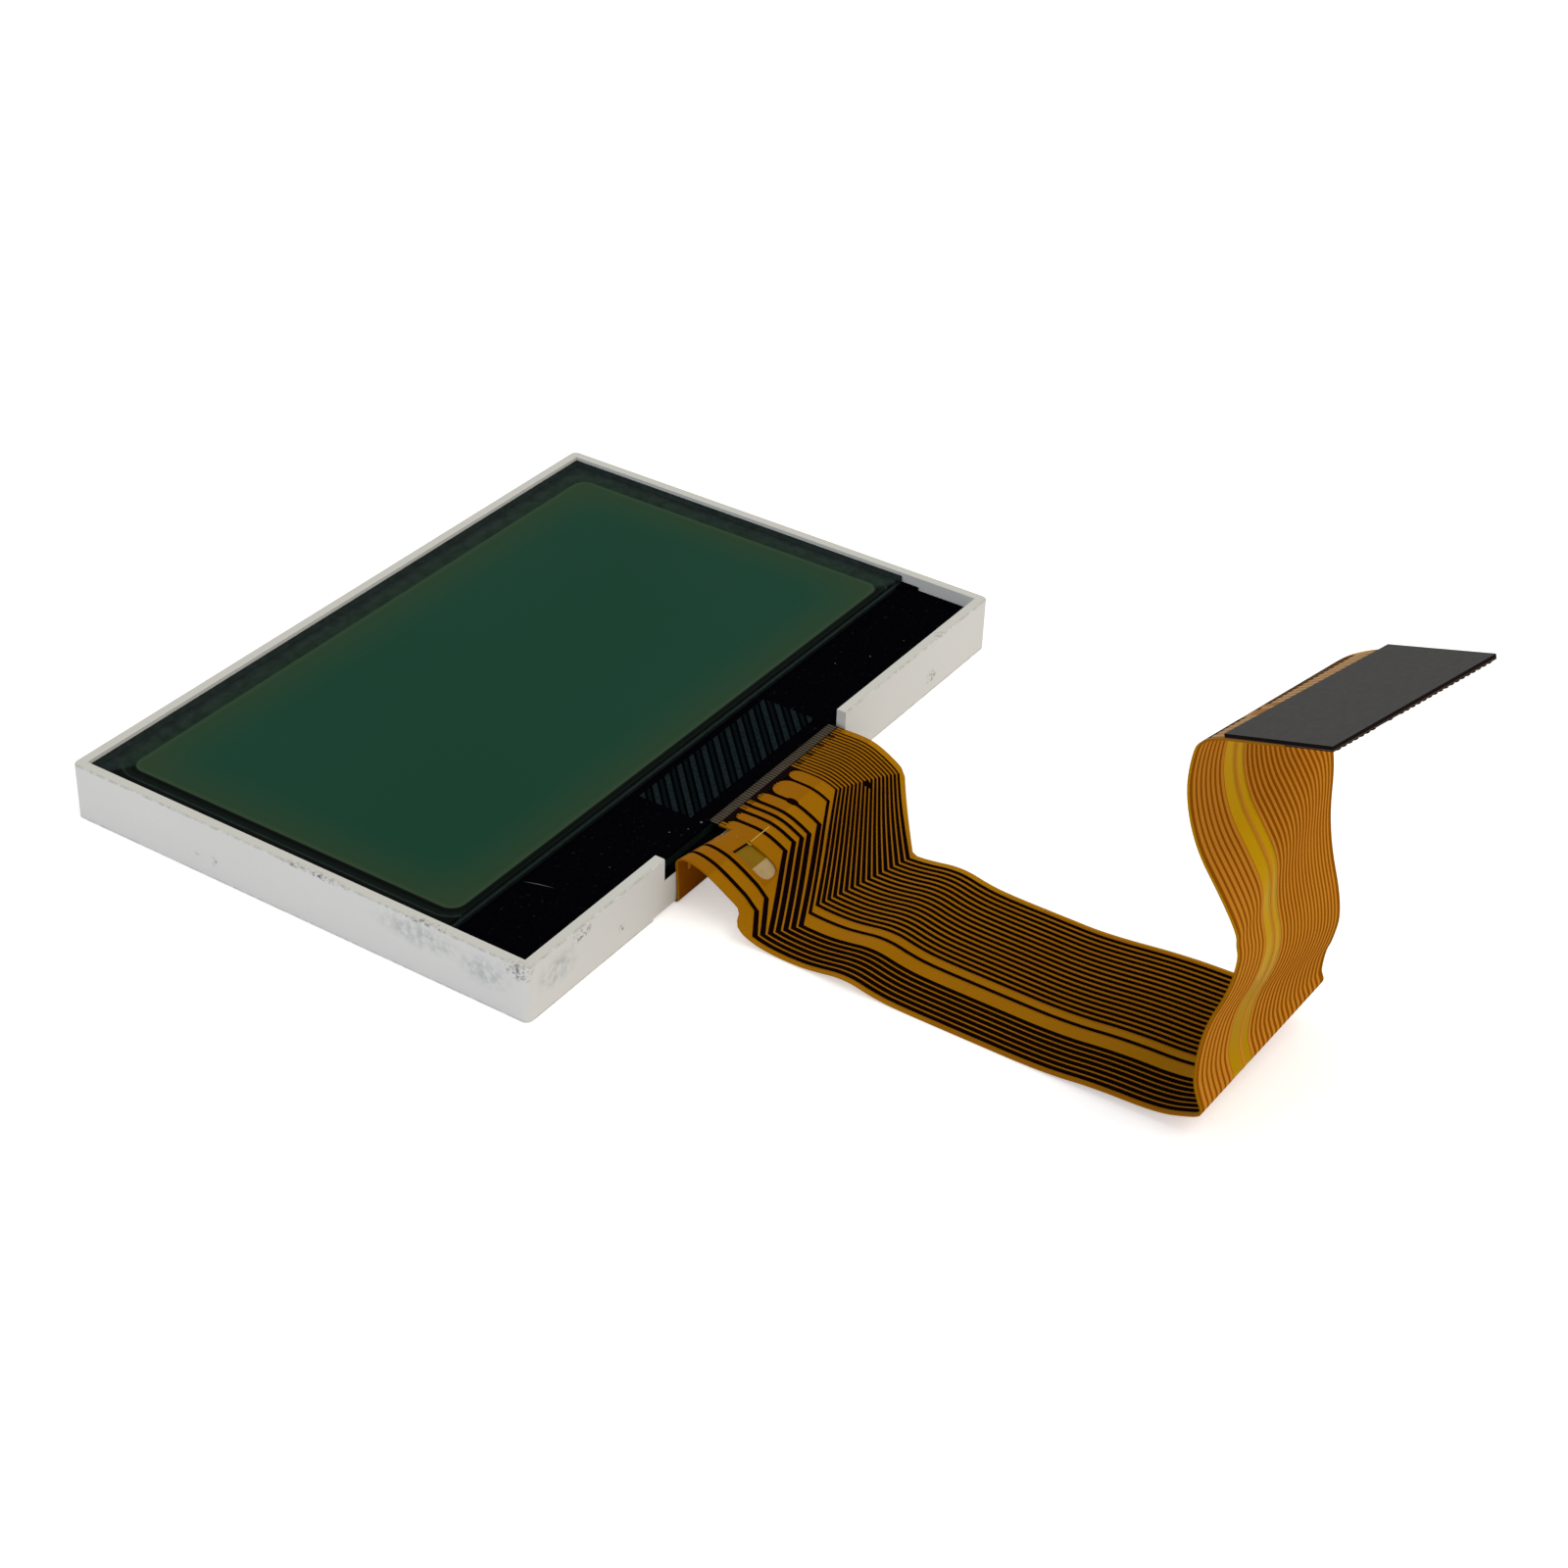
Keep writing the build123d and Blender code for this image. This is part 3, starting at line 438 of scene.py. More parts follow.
shade = add(tree, "ShaderNodeMix", {0: print_mask.outputs[0], 6: colour("#020303"), 7: colour("#1C2629")},
            data_type="RGBA")
surface = add(tree, "ShaderNodeBsdfPrincipled", {"Base Color": shade.outputs[2], "Roughness": 0.7,
              "Specular IOR Level": 0.0})
add(tree, "ShaderNodeOutputMaterial", {"Surface": surface.outputs[0]})
field = [(20.3, 2.12), (35.2, 2.12), (35.2, 6.32), (20.3, 6.32)]
bars = build("ledge_print", [plate(field, 3.25, 3.27)], ink)
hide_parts("ledge_bars")


# Flexible circuit, how it lies: a guide surface that carries the circuit's flat pattern. Across is the
# pattern's x and run its y, in millimetres from the frame's front left corner; past the front wall the
# run goes on along the bent film. The rows are rounded from a fit of folds to the circuit's edges, and
# a smooth curve runs along them.
film_low = 0.145
film_high = 3.105
circuit_near = 14.55
circuit_width = 14.6
head_bends = [(2.15, 1.0), (0.3, 1.0), (-1.3, 1.012), (-2.2, 1.0), (-2.9, 0.945), (-3.6, 0.84),
              (-4.2, 0.73),
              (-4.8, 0.6), (-5.25, 0.44), (-5.75, 0.29), (-6.4, 0.16), (-7.3, 0.07), (-8.6, 0.02),
              (-10.4, 0.02), (-11.8, 0.09), (-13.0, 0.17), (-14.2, 0.17), (-15.6, 0.06), (-17.2, 0.0),
              (-21.5, 0.0)]
tab_bends = [(-0.15, 0.0, 0.82, 0.76), (-0.32, 0.1, 1.05, 0.93), (-0.75, -0.3, 1.2, 1.008),
             (-1.3, -0.85, 1.24, 1.012), (-2.2, -1.9, 1.16, 1.0), (-2.9, -2.7, 1.03, 0.945),
             (-3.6, -3.5, 0.87, 0.84),
             (-4.2, -4.15, 0.73, 0.73), (-4.8, -4.8, 0.6, 0.6), (-5.25, -5.25, 0.44, 0.44),
             (-5.75, -5.75, 0.29, 0.29), (-6.4, -6.4, 0.16, 0.16)]
tab_under = [(5.64, 3.4, 0.2), (2.22, -0.02, 0.2), (2.1, -0.11, 0.27), (1.95, -0.15, 0.42)]
folds = [(4.8, -0.22, 0), (4.7, -0.07, 8.5), (4.6, -0.02, -6.5), (2.5, 0.01, 18.5), (0.8, 0.05, 12),
         (0.3, 0.08, 14.5), (0.3, 0.08, 27), (0.6, 0.05, 44.5), (0.9, -0.03, -9.5), (2.7, -0.18, -22.5),
         (2.2, -0.37, -17), (2.6, -0.37, 13.5), (3.2, -0.04, 27.5), (3.1, 0.28, -15), (2.1, 0.24, 30),
         (1.9, 0.04, 4.5), (2.3, -0.13, -20.5), (2.6, -0.19, -20.5), (1.4, -0.12, -29), (1.4, -0.02, -21),
         (1.2, 0, -7.5), (0.6, 0, -7.5), (6.7, 0, 0)]
slit_start = -0.75
head_near = 20.9
head_far = 35.5
tab_near = 15.6
tab_far = 19.95
parting = -5.25


def rounded(rows, steps=8):
    """A second order curve with the rows as its control points, from the first row to the last."""
    rows = np.array(rows, float)
    rows = np.vstack([rows[:1], rows, rows[-1:]])
    t = np.arange(steps)[:, None] / steps
    spans = [(1 - t) ** 2 / 2 * a + (0.5 + t * (1 - t)) * b + t ** 2 / 2 * c
             for a, b, c in zip(rows, rows[1:], rows[2:])]
    return np.vstack(spans + [rows[-1:]])


def sheet_part(rows, near_x, far_x, columns):
    """Part of the guide: each row holds run, near point and far point, and columns split it evenly."""
    share = np.linspace(0, 1, columns + 1)[None, :, None]
    points = rows[:, None, 1:4] * (1 - share) + rows[:, None, 4:7] * share
    places = np.dstack([np.full((len(rows), 1), near_x) + (far_x - near_x) * share[..., 0],
                        np.repeat(rows[:, :1], columns + 1, axis=1)])
    ups = np.cross(np.gradient(points, axis=0), np.gradient(points, axis=1))
    ups /= np.linalg.norm(ups, axis=2, keepdims=True)
    return points, places, ups


def across(rows, near_x, far_x, new_near, new_far):
    """The same rows carried along their own lines to other places across."""
    per_mm = (rows[:, 4:7] - rows[:, 1:4]) / (far_x - near_x)
    return np.column_stack([rows[:, :1], rows[:, 1:4] + per_mm * (new_near - near_x),
                            rows[:, 1:4] + per_mm * (new_far - near_x)])


spare = 0.3
slit_x = 20.4
edge_x = 14.0
side_x = 36.4
drop = film_high - film_low
line = rounded([(y, film_low + drop * f) for y, f in head_bends])
level = np.column_stack([line[:, 0], np.full(len(line), slit_x), line, np.full(len(line), side_x), line])
bent = rounded([(run, y, z, y, z) for run, y, z in tab_under]
               + [(run, y, film_low + drop * a, run, film_low + drop * b) for run, y, a, b in tab_bends])
tab_rows = np.column_stack([bent[:, 0], np.full(len(bent), tab_near), bent[:, 1:3],
                            np.full(len(bent), head_near), bent[:, 3:5]])
cut = [int(np.argmax(line[:, 0] <= value)) for value in (slit_start, parting)]
tab_cut = [int(np.argmax(bent[:, 0] <= slit_start)) - 1, int(np.argmax(bent[:, 0] <= parting))]
parts = [sheet_part(level[:cut[0] + 1], slit_x, side_x, 1)]
head_rows = across(level[cut[0]:cut[1] + 1], slit_x, side_x, head_near, side_x)
parts.append(sheet_part(head_rows, head_near, side_x, 1))
parts.append(sheet_part(across(level[cut[1]:], slit_x, side_x, edge_x, side_x), edge_x, side_x, 1))
above = across(tab_rows[:tab_cut[0] + 1], tab_near, head_near, edge_x, slit_x)
parts.append(sheet_part(above, edge_x, slit_x, 6))
below = across(tab_rows[tab_cut[0]:tab_cut[1] + 1], tab_near, head_near, edge_x, head_near)
parts.append(sheet_part(below, edge_x, head_near, 6))
near = Vector((circuit_near, head_bends[-1][0], film_low))
far = near + Vector((circuit_width, 0, 0))
heading = Vector((0, -1, 0))
lean_before = 0
run = head_bends[-1][0]
rows = [(run, *near, *far)]
for length, lean, bend in folds:
    heading = Matrix.Rotation(math.radians(-bend), 3, far - near) @ heading
    lead = (lean - lean_before) * circuit_width
    near = near + heading * (length - lead / 2)
    far = far + heading * (length + lead / 2)
    run -= length
    lean_before = lean
    rows.append((run, *near, *far))
circuit_end = run
plate_up = (far - near).cross(heading).normalized()
ribbon = across(rounded(rows), 0, circuit_width, -spare, circuit_width + spare)
parts.append(sheet_part(ribbon, circuit_near - spare, circuit_near + circuit_width + spare, 24))

guide_mesh = bpy.data.meshes.new("circuit_guide")
corners, quads, places, ups = [], [], [], []
for part_points, part_places, part_ups in parts:
    count, width = part_points.shape[:2]
    first = len(corners)
    corners += [(Vector(p) + frame_corner) * mm for p in part_points.reshape(-1, 3)]
    places += part_places.reshape(-1, 2).tolist()
    ups += part_ups.reshape(-1, 3).tolist()
    for i in range(count - 1):
        for k in range(first + i * width, first + (i + 1) * width - 1):
            quads.append((k, k + 1, k + width + 1, k + width))
guide_mesh.from_pydata(corners, [], quads)
pattern = guide_mesh.uv_layers.new(name="pattern")
for loop in guide_mesh.loops:
    x, y = places[loop.vertex_index]
    pattern.data[loop.index].uv = (x * 0.01, y * 0.01 + 0.8)
guide_mesh.attributes.new("upward", "FLOAT_VECTOR", "POINT").data.foreach_set("vector",
                                                                              np.array(ups).ravel())
guide = bpy.data.objects.new("circuit_guide", guide_mesh)
bpy.context.scene.collection.objects.link(guide)
stations = [circuit_end]
for value in sorted({round(p[1], 4) for p in places}):
    if value - stations[-1] > 0.11:
        stations.append(value)

# Node tree that lays a flat piece of the pattern on the guide. Each point goes to its place on the
# surface and then off it by its own height, and faces that looked down get the second finish.
lay = bpy.data.node_groups.new("lay_on_circuit", "GeometryNodeTree")
for name, kind, way in (("Piece", "Geometry", "INPUT"), ("Guide", "Object", "INPUT"),
                        ("Top Finish", "Material", "INPUT"), ("Under Finish", "Material", "INPUT"),
                        ("Laid Piece", "Geometry", "OUTPUT")):
    lay.interface.new_socket(name, in_out=way, socket_type="NodeSocket" + kind)
given = add(lay, "NodeGroupInput")
facing = add(lay, "ShaderNodeSeparateXYZ", {0: add(lay, "GeometryNodeInputNormal").outputs[0]})
down = add(lay, "FunctionNodeCompare", {"A": facing.outputs[2], "B": -0.5}, operation="LESS_THAN")
noted = add(lay, "GeometryNodeStoreNamedAttribute",
            {"Geometry": given.outputs["Piece"], "Name": "underside",
            "Value": down.outputs[0]}, data_type="BOOLEAN", domain="FACE")
surface = add(lay, "GeometryNodeObjectInfo", {"Object": given.outputs["Guide"]})
flat = add(lay, "GeometryNodeInputPosition")
spot = add(lay, "ShaderNodeVectorMath", {0: flat.outputs[0], 1: (10, 10, 0), 2: (0, 0.8, 0)},
           operation="MULTIPLY_ADD")
height = add(lay, "ShaderNodeSeparateXYZ", {0: flat.outputs[0]})
flat_map = add(lay, "GeometryNodeInputNamedAttribute", {"Name": "pattern"}, data_type="FLOAT_VECTOR")
upward = add(lay, "GeometryNodeInputNamedAttribute", {"Name": "upward"}, data_type="FLOAT_VECTOR")
on_guide = add(lay, "GeometryNodeSampleUVSurface", {0: surface.outputs["Geometry"], 1: flat.outputs[0],
               2: flat_map.outputs[0], 3: spot.outputs[0]}, data_type="FLOAT_VECTOR")
off_guide = add(lay, "GeometryNodeSampleUVSurface", {0: surface.outputs["Geometry"], 1: upward.outputs[0],
                2: flat_map.outputs[0], 3: spot.outputs[0]}, data_type="FLOAT_VECTOR")
raised = add(lay, "ShaderNodeVectorMath", {0: off_guide.outputs[0], "Scale": height.outputs[2]},
             operation="SCALE")
placed = add(lay, "ShaderNodeVectorMath", {0: on_guide.outputs[0], 1: raised.outputs[0]})
moved = add(lay, "GeometryNodeSetPosition", {"Geometry": noted.outputs[0], "Position": placed.outputs[0]})
whole = add(lay, "GeometryNodeRealizeInstances", {0: moved.outputs[0]})
topped = add(lay, "GeometryNodeSetMaterial",
             {"Geometry": whole.outputs[0], "Material": given.outputs["Top Finish"]})
below = add(lay, "GeometryNodeInputNamedAttribute", {"Name": "underside"}, data_type="BOOLEAN")
finished = add(lay, "GeometryNodeSetMaterial",
               {"Geometry": topped.outputs[0], "Selection": below.outputs[0],
               "Material": given.outputs["Under Finish"]})
add(lay, "NodeGroupOutput", {0: finished.outputs[0]})


def strip(left, right, low=None, high=None):
    """Rows (run, left x, right x) of a strip whose two sides are broken lines of (run, x)."""
    left = sorted(left)
    right = sorted(right)
    low = max(left[0][0], right[0][0]) if low is None else low
    high = min(left[-1][0], right[-1][0]) if high is None else high
    runs = {low, high} | {s for s in [p[0] for p in left + right] + stations if low < s < high}
    return [(s, float(np.interp(s, *zip(*left))), float(np.interp(s, *zip(*right)))) for s in sorted(runs)]


def inputs_by_name(group):
    """The identifier under which a modifier takes each named input of its tree."""
    return {item.name: item.identifier for item in group.interface.items_tree if item.in_out == "INPUT"}


def lay_piece(name, strips, top, bottom, finish, under_finish=None, row=None):
    """Draws strips flat, gives them their thickness, lays them on the guide and returns the piece."""
    shape = bmesh.new()
    for rows in strips:
        line = [[shape.verts.new((x * mm, run * mm, top * mm)) for x in xs] for run, *xs in rows]
        for a, b in zip(line, line[1:]):
            for k in range(len(a) - 1):
                shape.faces.new((a[k], a[k + 1], b[k + 1], b[k]))
    bmesh.ops.remove_doubles(shape, verts=shape.verts, dist=0.0005 * mm)
    made = bmesh.ops.extrude_face_region(shape, geom=shape.faces[:], use_keep_orig=True)["geom"]
    bmesh.ops.translate(shape, vec=(0, 0, (bottom - top) * mm),
                        verts=[v for v in made if isinstance(v, bmesh.types.BMVert)])
    bmesh.ops.recalc_face_normals(shape, faces=shape.faces)
    flat_uv = shape.loops.layers.uv.new("flat")
    for face in shape.faces:
        face.smooth = True
        for loop in face.loops:
            loop[flat_uv].uv = (loop.vert.co.x / mm, loop.vert.co.y / mm)
    mesh = bpy.data.meshes.new(name)
    shape.to_mesh(mesh)
    shape.free()
    piece = bpy.data.objects.new(name, mesh)
    bpy.context.scene.collection.objects.link(piece)
    if row:
        repeat = piece.modifiers.new("row", "NODES")
        repeat.node_group, count, spacing = row
        socket = inputs_by_name(row[0])
        repeat[socket["Count"]] = count
        repeat[socket["Spacing"]] = spacing * mm
        repeat[socket["Finish"]] = finish
    bend = piece.modifiers.new("lay", "NODES")
    bend.node_group = lay
    socket = inputs_by_name(lay)
    bend[socket["Guide"]] = guide
    bend[socket["Top Finish"]] = finish
    bend[socket["Under Finish"]] = under_finish or finish
    laid = bpy.data.meshes.new_from_object(piece.evaluated_get(bpy.context.evaluated_depsgraph_get()))
    piece.modifiers.clear()
    piece.data = laid
    laid.name = name
    laid.set_sharp_from_angle(angle=math.radians(50))
    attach(piece, "root")
    return piece


# Circuit films: two amber polyimide films glued over the conductors, punched to shape with a slot and a
# slit between tab and head. The light that goes through turns a deep yellow. The side that faces up on the
# table is painted browner than the side that faces out on the upright run, partly the films' own tones and
# partly painted shade of the shadowed table seen through it.
film_t = 0.135
near_side = [(5.64, tab_near), (-4.95, tab_near), (-5.15, tab_near - 0.15), (-5.35, 14.95), (-5.6, 14.65),
             (-6.0, circuit_near), (circuit_end, circuit_near)]
far_side = [(2.15, head_far), (-4.89, head_far), (-5.34, head_far - 0.22), (-9.65, 29.4), (-10.15, 29.15),
            (circuit_end, circuit_near + circuit_width)]
slot_middle = 19.62
slot_low = -4.86
slot_high = -2.35
slot_half = 0.88
slot_round = 0.6
slot_side = [(slot_high + 0.0001, 0), (slot_high, slot_half), (slot_low - 0.0001, 0)]
for degrees in range(0, 91, 15):
    out = slot_half - slot_round + slot_round * math.cos(math.radians(degrees))
    drop = slot_round * (1 - math.sin(math.radians(degrees)))
    slot_side.append((slot_low + drop, out))
split_near = [(circuit_end, slot_middle), (slit_start - 0.0001, slot_middle), (slit_start, tab_far),
              (5.64, tab_far)]
split_near += [(run, slot_middle - out) for run, out in slot_side]
split_far = [(circuit_end, slot_middle), (slit_start, slot_middle)]
split_far += [(run, slot_middle + out) for run, out in slot_side]
inner_line = [(circuit_end, head_near), (2.15, head_near)]
columns = [circuit_near - spare + k * (circuit_width + 2 * spare) / 24 for k in range(25)]
ribbon_run = -20.0
marks = sorted({p[0] for p in near_side + far_side + split_near + split_far})
stations = sorted(set(stations) | set(marks))


def plain_finish(name, dim, bright, cell, rough, shine, metallic=0.0):
    """Two shades clouded into each other, in clouds as wide as cell in mm."""
    material, tree = new_material(name)
    place = add(tree, "ShaderNodeTexCoord").outputs["Object"]
    cloud = add(tree, "ShaderNodeTexNoise", {"Vector": place, "Scale": 1 / (cell * mm), "Detail": 4.0})
    shade = add(tree, "ShaderNodeMix", {0: cloud.outputs[0], 6: colour(dim), 7: colour(bright)},
                data_type="RGBA")
    surface = add(tree, "ShaderNodeBsdfPrincipled", {"Base Color": shade.outputs[2], "Roughness": rough,
                  "Specular IOR Level": shine, "Metallic": metallic})
    add(tree, "ShaderNodeOutputMaterial", {"Surface": surface.outputs[0]})
    return material


def polyimide(name, shade, lighter, tint, clear_share):
    """Amber film: most light is sent back in its own shade, and the rest goes through tinted."""
    material, tree = new_material(name)
    place = add(tree, "ShaderNodeTexCoord").outputs["Object"]
    cloud = add(tree, "ShaderNodeTexNoise", {"Vector": place, "Scale": 1 / (3 * mm), "Detail": 3.0})
    amber = add(tree, "ShaderNodeMix", {0: cloud.outputs[0], 6: colour(shade), 7: colour(lighter)},
                data_type="RGBA")
    ripple = add(tree, "ShaderNodeTexNoise", {"Vector": place, "Scale": 1 / (0.8 * mm), "Detail": 2.0})
    ripple_bump = add(tree, "ShaderNodeBump",
                      {"Height": ripple.outputs[0], "Strength": 0.15, "Distance": 0.03 * mm})
    body = add(tree, "ShaderNodeBsdfPrincipled", {"Base Color": amber.outputs[2], "Roughness": 0.32,
               "Specular IOR Level": 0.015, "Normal": ripple_bump.outputs[0]})
    through = add(tree, "ShaderNodeBsdfTransparent", {"Color": colour(tint)})
    mixed = add(tree, "ShaderNodeMixShader", {0: clear_share, 1: body.outputs[0], 2: through.outputs[0]})
    leaving = add(tree, "ShaderNodeBsdfTransparent", {"Color": colour("#FFFFFF")})
    inside = add(tree, "ShaderNodeNewGeometry").outputs["Backfacing"]
    surface = add(tree, "ShaderNodeMixShader", {0: inside, 1: mixed.outputs[0], 2: leaving.outputs[0]})
    add(tree, "ShaderNodeOutputMaterial", {"Surface": surface.outputs[0]})
    return material


# Painted shade: the upward film is painted browner, partly its own tone and partly the shadowed table
# under it.
shaded_film_top = polyimide("amber_polyimide_base_film_painted_browner", "#965F02", "#A26903", "#DCB010", 0.12)
film_under = polyimide("amber_polyimide_coverlay", "#BC8E04", "#C69806", "#D8A808", 0.12)
dark_edge = plain_finish("dark_cut_film_edge", "#120A06", "#1E120A", 0.8, 0.5, 0.02)
bond_run = 0.3
tab_run = 4.65
bare_run = circuit_end + 3.2


def sheet(near_x, far_x, low, high):
    """Rows of a strip with even sides and enough columns to follow the twist of the upright run."""
    inner = [x for x in columns if near_x + 0.05 < x < far_x - 0.05]
    runs = {low, high} | {s for s in stations if low < s < high}
    return [(s, near_x, *inner, far_x) for s in sorted(runs)]


body = [strip(near_side, split_near, low=ribbon_run, high=tab_run),
        strip(split_far, inner_line, low=ribbon_run, high=slit_start),
        strip(inner_line, far_side, low=ribbon_run, high=bond_run),
        sheet(circuit_near, circuit_near + circuit_width, bare_run, ribbon_run)]
films = lay_piece("circuit_films", body, 0.0, -film_t, shaded_film_top, film_under)
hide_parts("flex_base_film", "flex_coverlay")
ends = [sheet(circuit_near, circuit_near + circuit_width, circuit_end + 0.01, bare_run),
        strip(inner_line, far_side, low=bond_run, high=2.13),
        strip(near_side, split_near, low=tab_run, high=5.62)]
lay_piece("circuit_film_ends", ends, 0.0, -0.05, dark_edge, film_under)


# Conductors: copper etched to 25 lines on 28 even places, straight in the tail and fanned through the jog
# to the finer spacing of the head. From above they are near black, partly the copper's own dark face and
# partly painted shade, and from below a deep orange brown. At the last bend their tops are painted pale, a
# painted sheen of the backdrop, and brown painted shade fills the gaps between the lines below and the
# underside of the tab. Each line stands a hair proud of the film, as the real film does over its copper.
pitch = 0.5
fine_pitch = 0.34
line_half = 0.176
far_half = 0.148
present = [n for n in range(28) if n not in (7, 8, 10)]
upper_bend = {0: (-8.4, -11.2), 1: (-5.7, -10.9), 2: (2.2, -8.5), 3: (4.4, -8.4), 4: (6.0, -8.6),
              5: (7.5, -8.8),
              6: (10.1, -8.7), 9: (14.4, -7.3)}
lobes = [(21.42, -0.05), (22.6, 0.0), (25.3, 0.12), (27.05, -0.05), (28.8, -0.1)]
lobe_beside = {2: (0, 1), 3: (1, None), 5: (None, 2), 6: (2, 3), 9: (3, 4), 11: (4, None)}


def line_sides(n, share=1.0):
    """Both sides of a conductor as broken lines of (run, x), from the contact edge to the head."""
    x1 = circuit_near + 0.5 + pitch * n
    if n >= 11:
        y1 = -7.8 - 0.125 * (n - 11)
        x0, y0 = head_near + 8.55 + fine_pitch * (n - 11), -3.43 - 0.1 * (n - 11)
        half, skew_high, skew_low = 0.078, 0.055, 0.065
    else:
        y1 = -7.88 if n == 9 else -6.6 - 0.26 * n
        x0, y0 = head_near + upper_bend[n][0] * pitch, upper_bend[n][1] * pitch
        half, skew_high, skew_low = (0.16, 0.09, 0.1) if n < 9 else (0.13, 0.05, 0.05)
    wide = (line_half if n < 7 else far_half) * share
    sides = []
    for k, sign in enumerate((-1, 1)):
        side = [(circuit_end + 0.05, x1 + sign * wide), (y1 + sign * skew_low * -1, x1 + sign * wide),
                (y0 + sign * skew_high * -1, x0 + sign * half)]
        lobe = lobe_beside.get(n, (None, None))[k]
        if n < 2:
            side.append((5.3, x0 + 0.3 + sign * half))
        elif lobe is None:
            side.append((1.9, x0 + sign * (half if n < 11 else 0.06)))
        else:
            middle, top = lobes[lobe]
            edge = x0 + sign * half
            reach = min(0.9, 1.3 * abs(middle - edge))
            side += [(top - reach + reach * math.sin(math.radians(a)),
                      middle + (edge - middle) * math.cos(math.radians(a))) for a in range(0, 91, 10)]
            side.append((1.9, middle))
        sides.append(side)
    return sides


# Painted shade: the copper's upward faces are near black, partly its own dark face and partly painted
# shade.
dark_and_shaded_copper = plain_finish("copper_under_base_film_dark_and_shaded", "#070204", "#170809", 0.5, 0.4, 0.0)
copper_under = plain_finish("copper_under_coverlay", "#C68028", "#D28C32", 1.5, 0.5, 0.0)
# Painted sheen: pale copper at the last bend stands for the backdrop reflected there.
painted_sheen_copper = plain_finish("copper_with_painted_sheen", "#A88456", "#BC9868", 1.0, 0.4, 0.02)
# Painted shade: brown between the lines seen from below, and under the tab.
painted_gap_shade = plain_finish("brown_painted_shade_between_lines", "#8C4E04", "#9A5A06", 1.5, 0.5, 0.0)
bend_run = circuit_end + 9.0
line_top = 0.006
line_low = -0.03
under_top = -0.11
under_low = -0.143
lines = [strip(*line_sides(n), low=bend_run) for n in present]
conductors = lay_piece("circuit_conductors", lines, line_top, line_low, dark_and_shaded_copper,
                       copper_under)
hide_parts("flex_copper")
lines = [strip(*line_sides(n), low=bare_run, high=bend_run) for n in present]
lay_piece("circuit_conductors_at_bend", lines, line_top, line_low, painted_sheen_copper)
lines = [strip(*line_sides(n, 0.85), low=bare_run, high=bond_run) for n in present]
lay_piece("circuit_conductors_below", lines, under_top, under_low, dark_and_shaded_copper, copper_under)
# Painted shade: brown slabs behind the gaps between lines on the upright run, and one under the tab.
gaps = [sheet(a, b, bare_run, ribbon_run) for a, b in ((14.6, 18.25), (19.42, 19.68), (20.38, 29.1))]
gaps.append(strip([(-1.0, 15.65), (4.6, 15.65)], [(-1.0, 19.9), (4.6, 19.9)]))
lay_piece("shaded_gaps_below", gaps, under_top, -0.138, painted_gap_shade)
fingers = [strip(*line_sides(n), high=bare_run) for n in present]
lay_piece("contact_copper", fingers, -0.051, -0.084, dark_edge, copper_under)


# Head details: two blind pads on the conductors, pale lines of painted glint where the films end, an olive
# patch under the upper part of the slot that is painted shade of the flap seen through it, a pale patch
# under its lower part that is painted light of the floor, and a dark bar of painted shadow along its upper
# edge.
def spot_strip(middle_x, middle_run, half_x, half_run):
    """Rows of an oval pad."""
    rows = []
    for degrees in range(-90, 91, 15):
        out = half_x * math.cos(math.radians(degrees)) + 0.001
        rows.append((middle_run + half_run * math.sin(math.radians(degrees)), middle_x - out,
                    middle_x + out))
    return rows


pads = [spot_strip(31.9, -4.41, 0.27, 0.27), spot_strip(26.0, -2.12, 0.3, 0.5)]
lay_piece("blind_pads", pads, 0.014, line_low, dark_and_shaded_copper)
# Painted shade and light: the olive patch stands for the flap seen in shadow through the slot, the pale
# one for the lit floor.
slot_shade_finish = plain_finish("olive_painted_shade_in_slot", "#7C5E06", "#8C6C0C", 1.0, 0.4, 0.05)
slot_light_finish = plain_finish("pale_painted_light_in_slot", "#A48A58", "#BCA47C", 0.5, 0.5, 0.05)
patch = [[(-3.85, 18.6, 20.6), (-2.2, 18.6, 20.6)]]
lay_piece("slot_patch", patch, -0.136, -0.16, slot_shade_finish)
patch = [[(-5.0, 18.6, 20.6), (-3.85, 18.6, 20.6)]]
lay_piece("slot_patch_pale", patch, -0.137, -0.161, slot_light_finish)
# Painted shadow: a dark bar along the slot's upper edge.
bar = [[(-2.46, 18.85, 20.4), (-2.34, 18.85, 20.4)]]
lay_piece("slot_bar", bar, -0.06, -0.13, dark_and_shaded_copper)
# Painted glints: pale lines along the film edges stand for light caught there.
painted_glint_finish = plain_finish("pale_painted_glint", "#B89A50", "#D0B468", 1.0, 0.4, 0.05)
glints = [[(-0.55, 19.3, 19.9), (-0.48, 19.3, 19.9)], [(-2.7, 20.3, 20.36), (-1.5, 20.3, 20.36)],
          [(-2.5, 20.6, 22.7), (-2.44, 20.6, 22.7)]]
lay_piece("film_edge_lines", glints, 0.004, -0.01, painted_glint_finish)


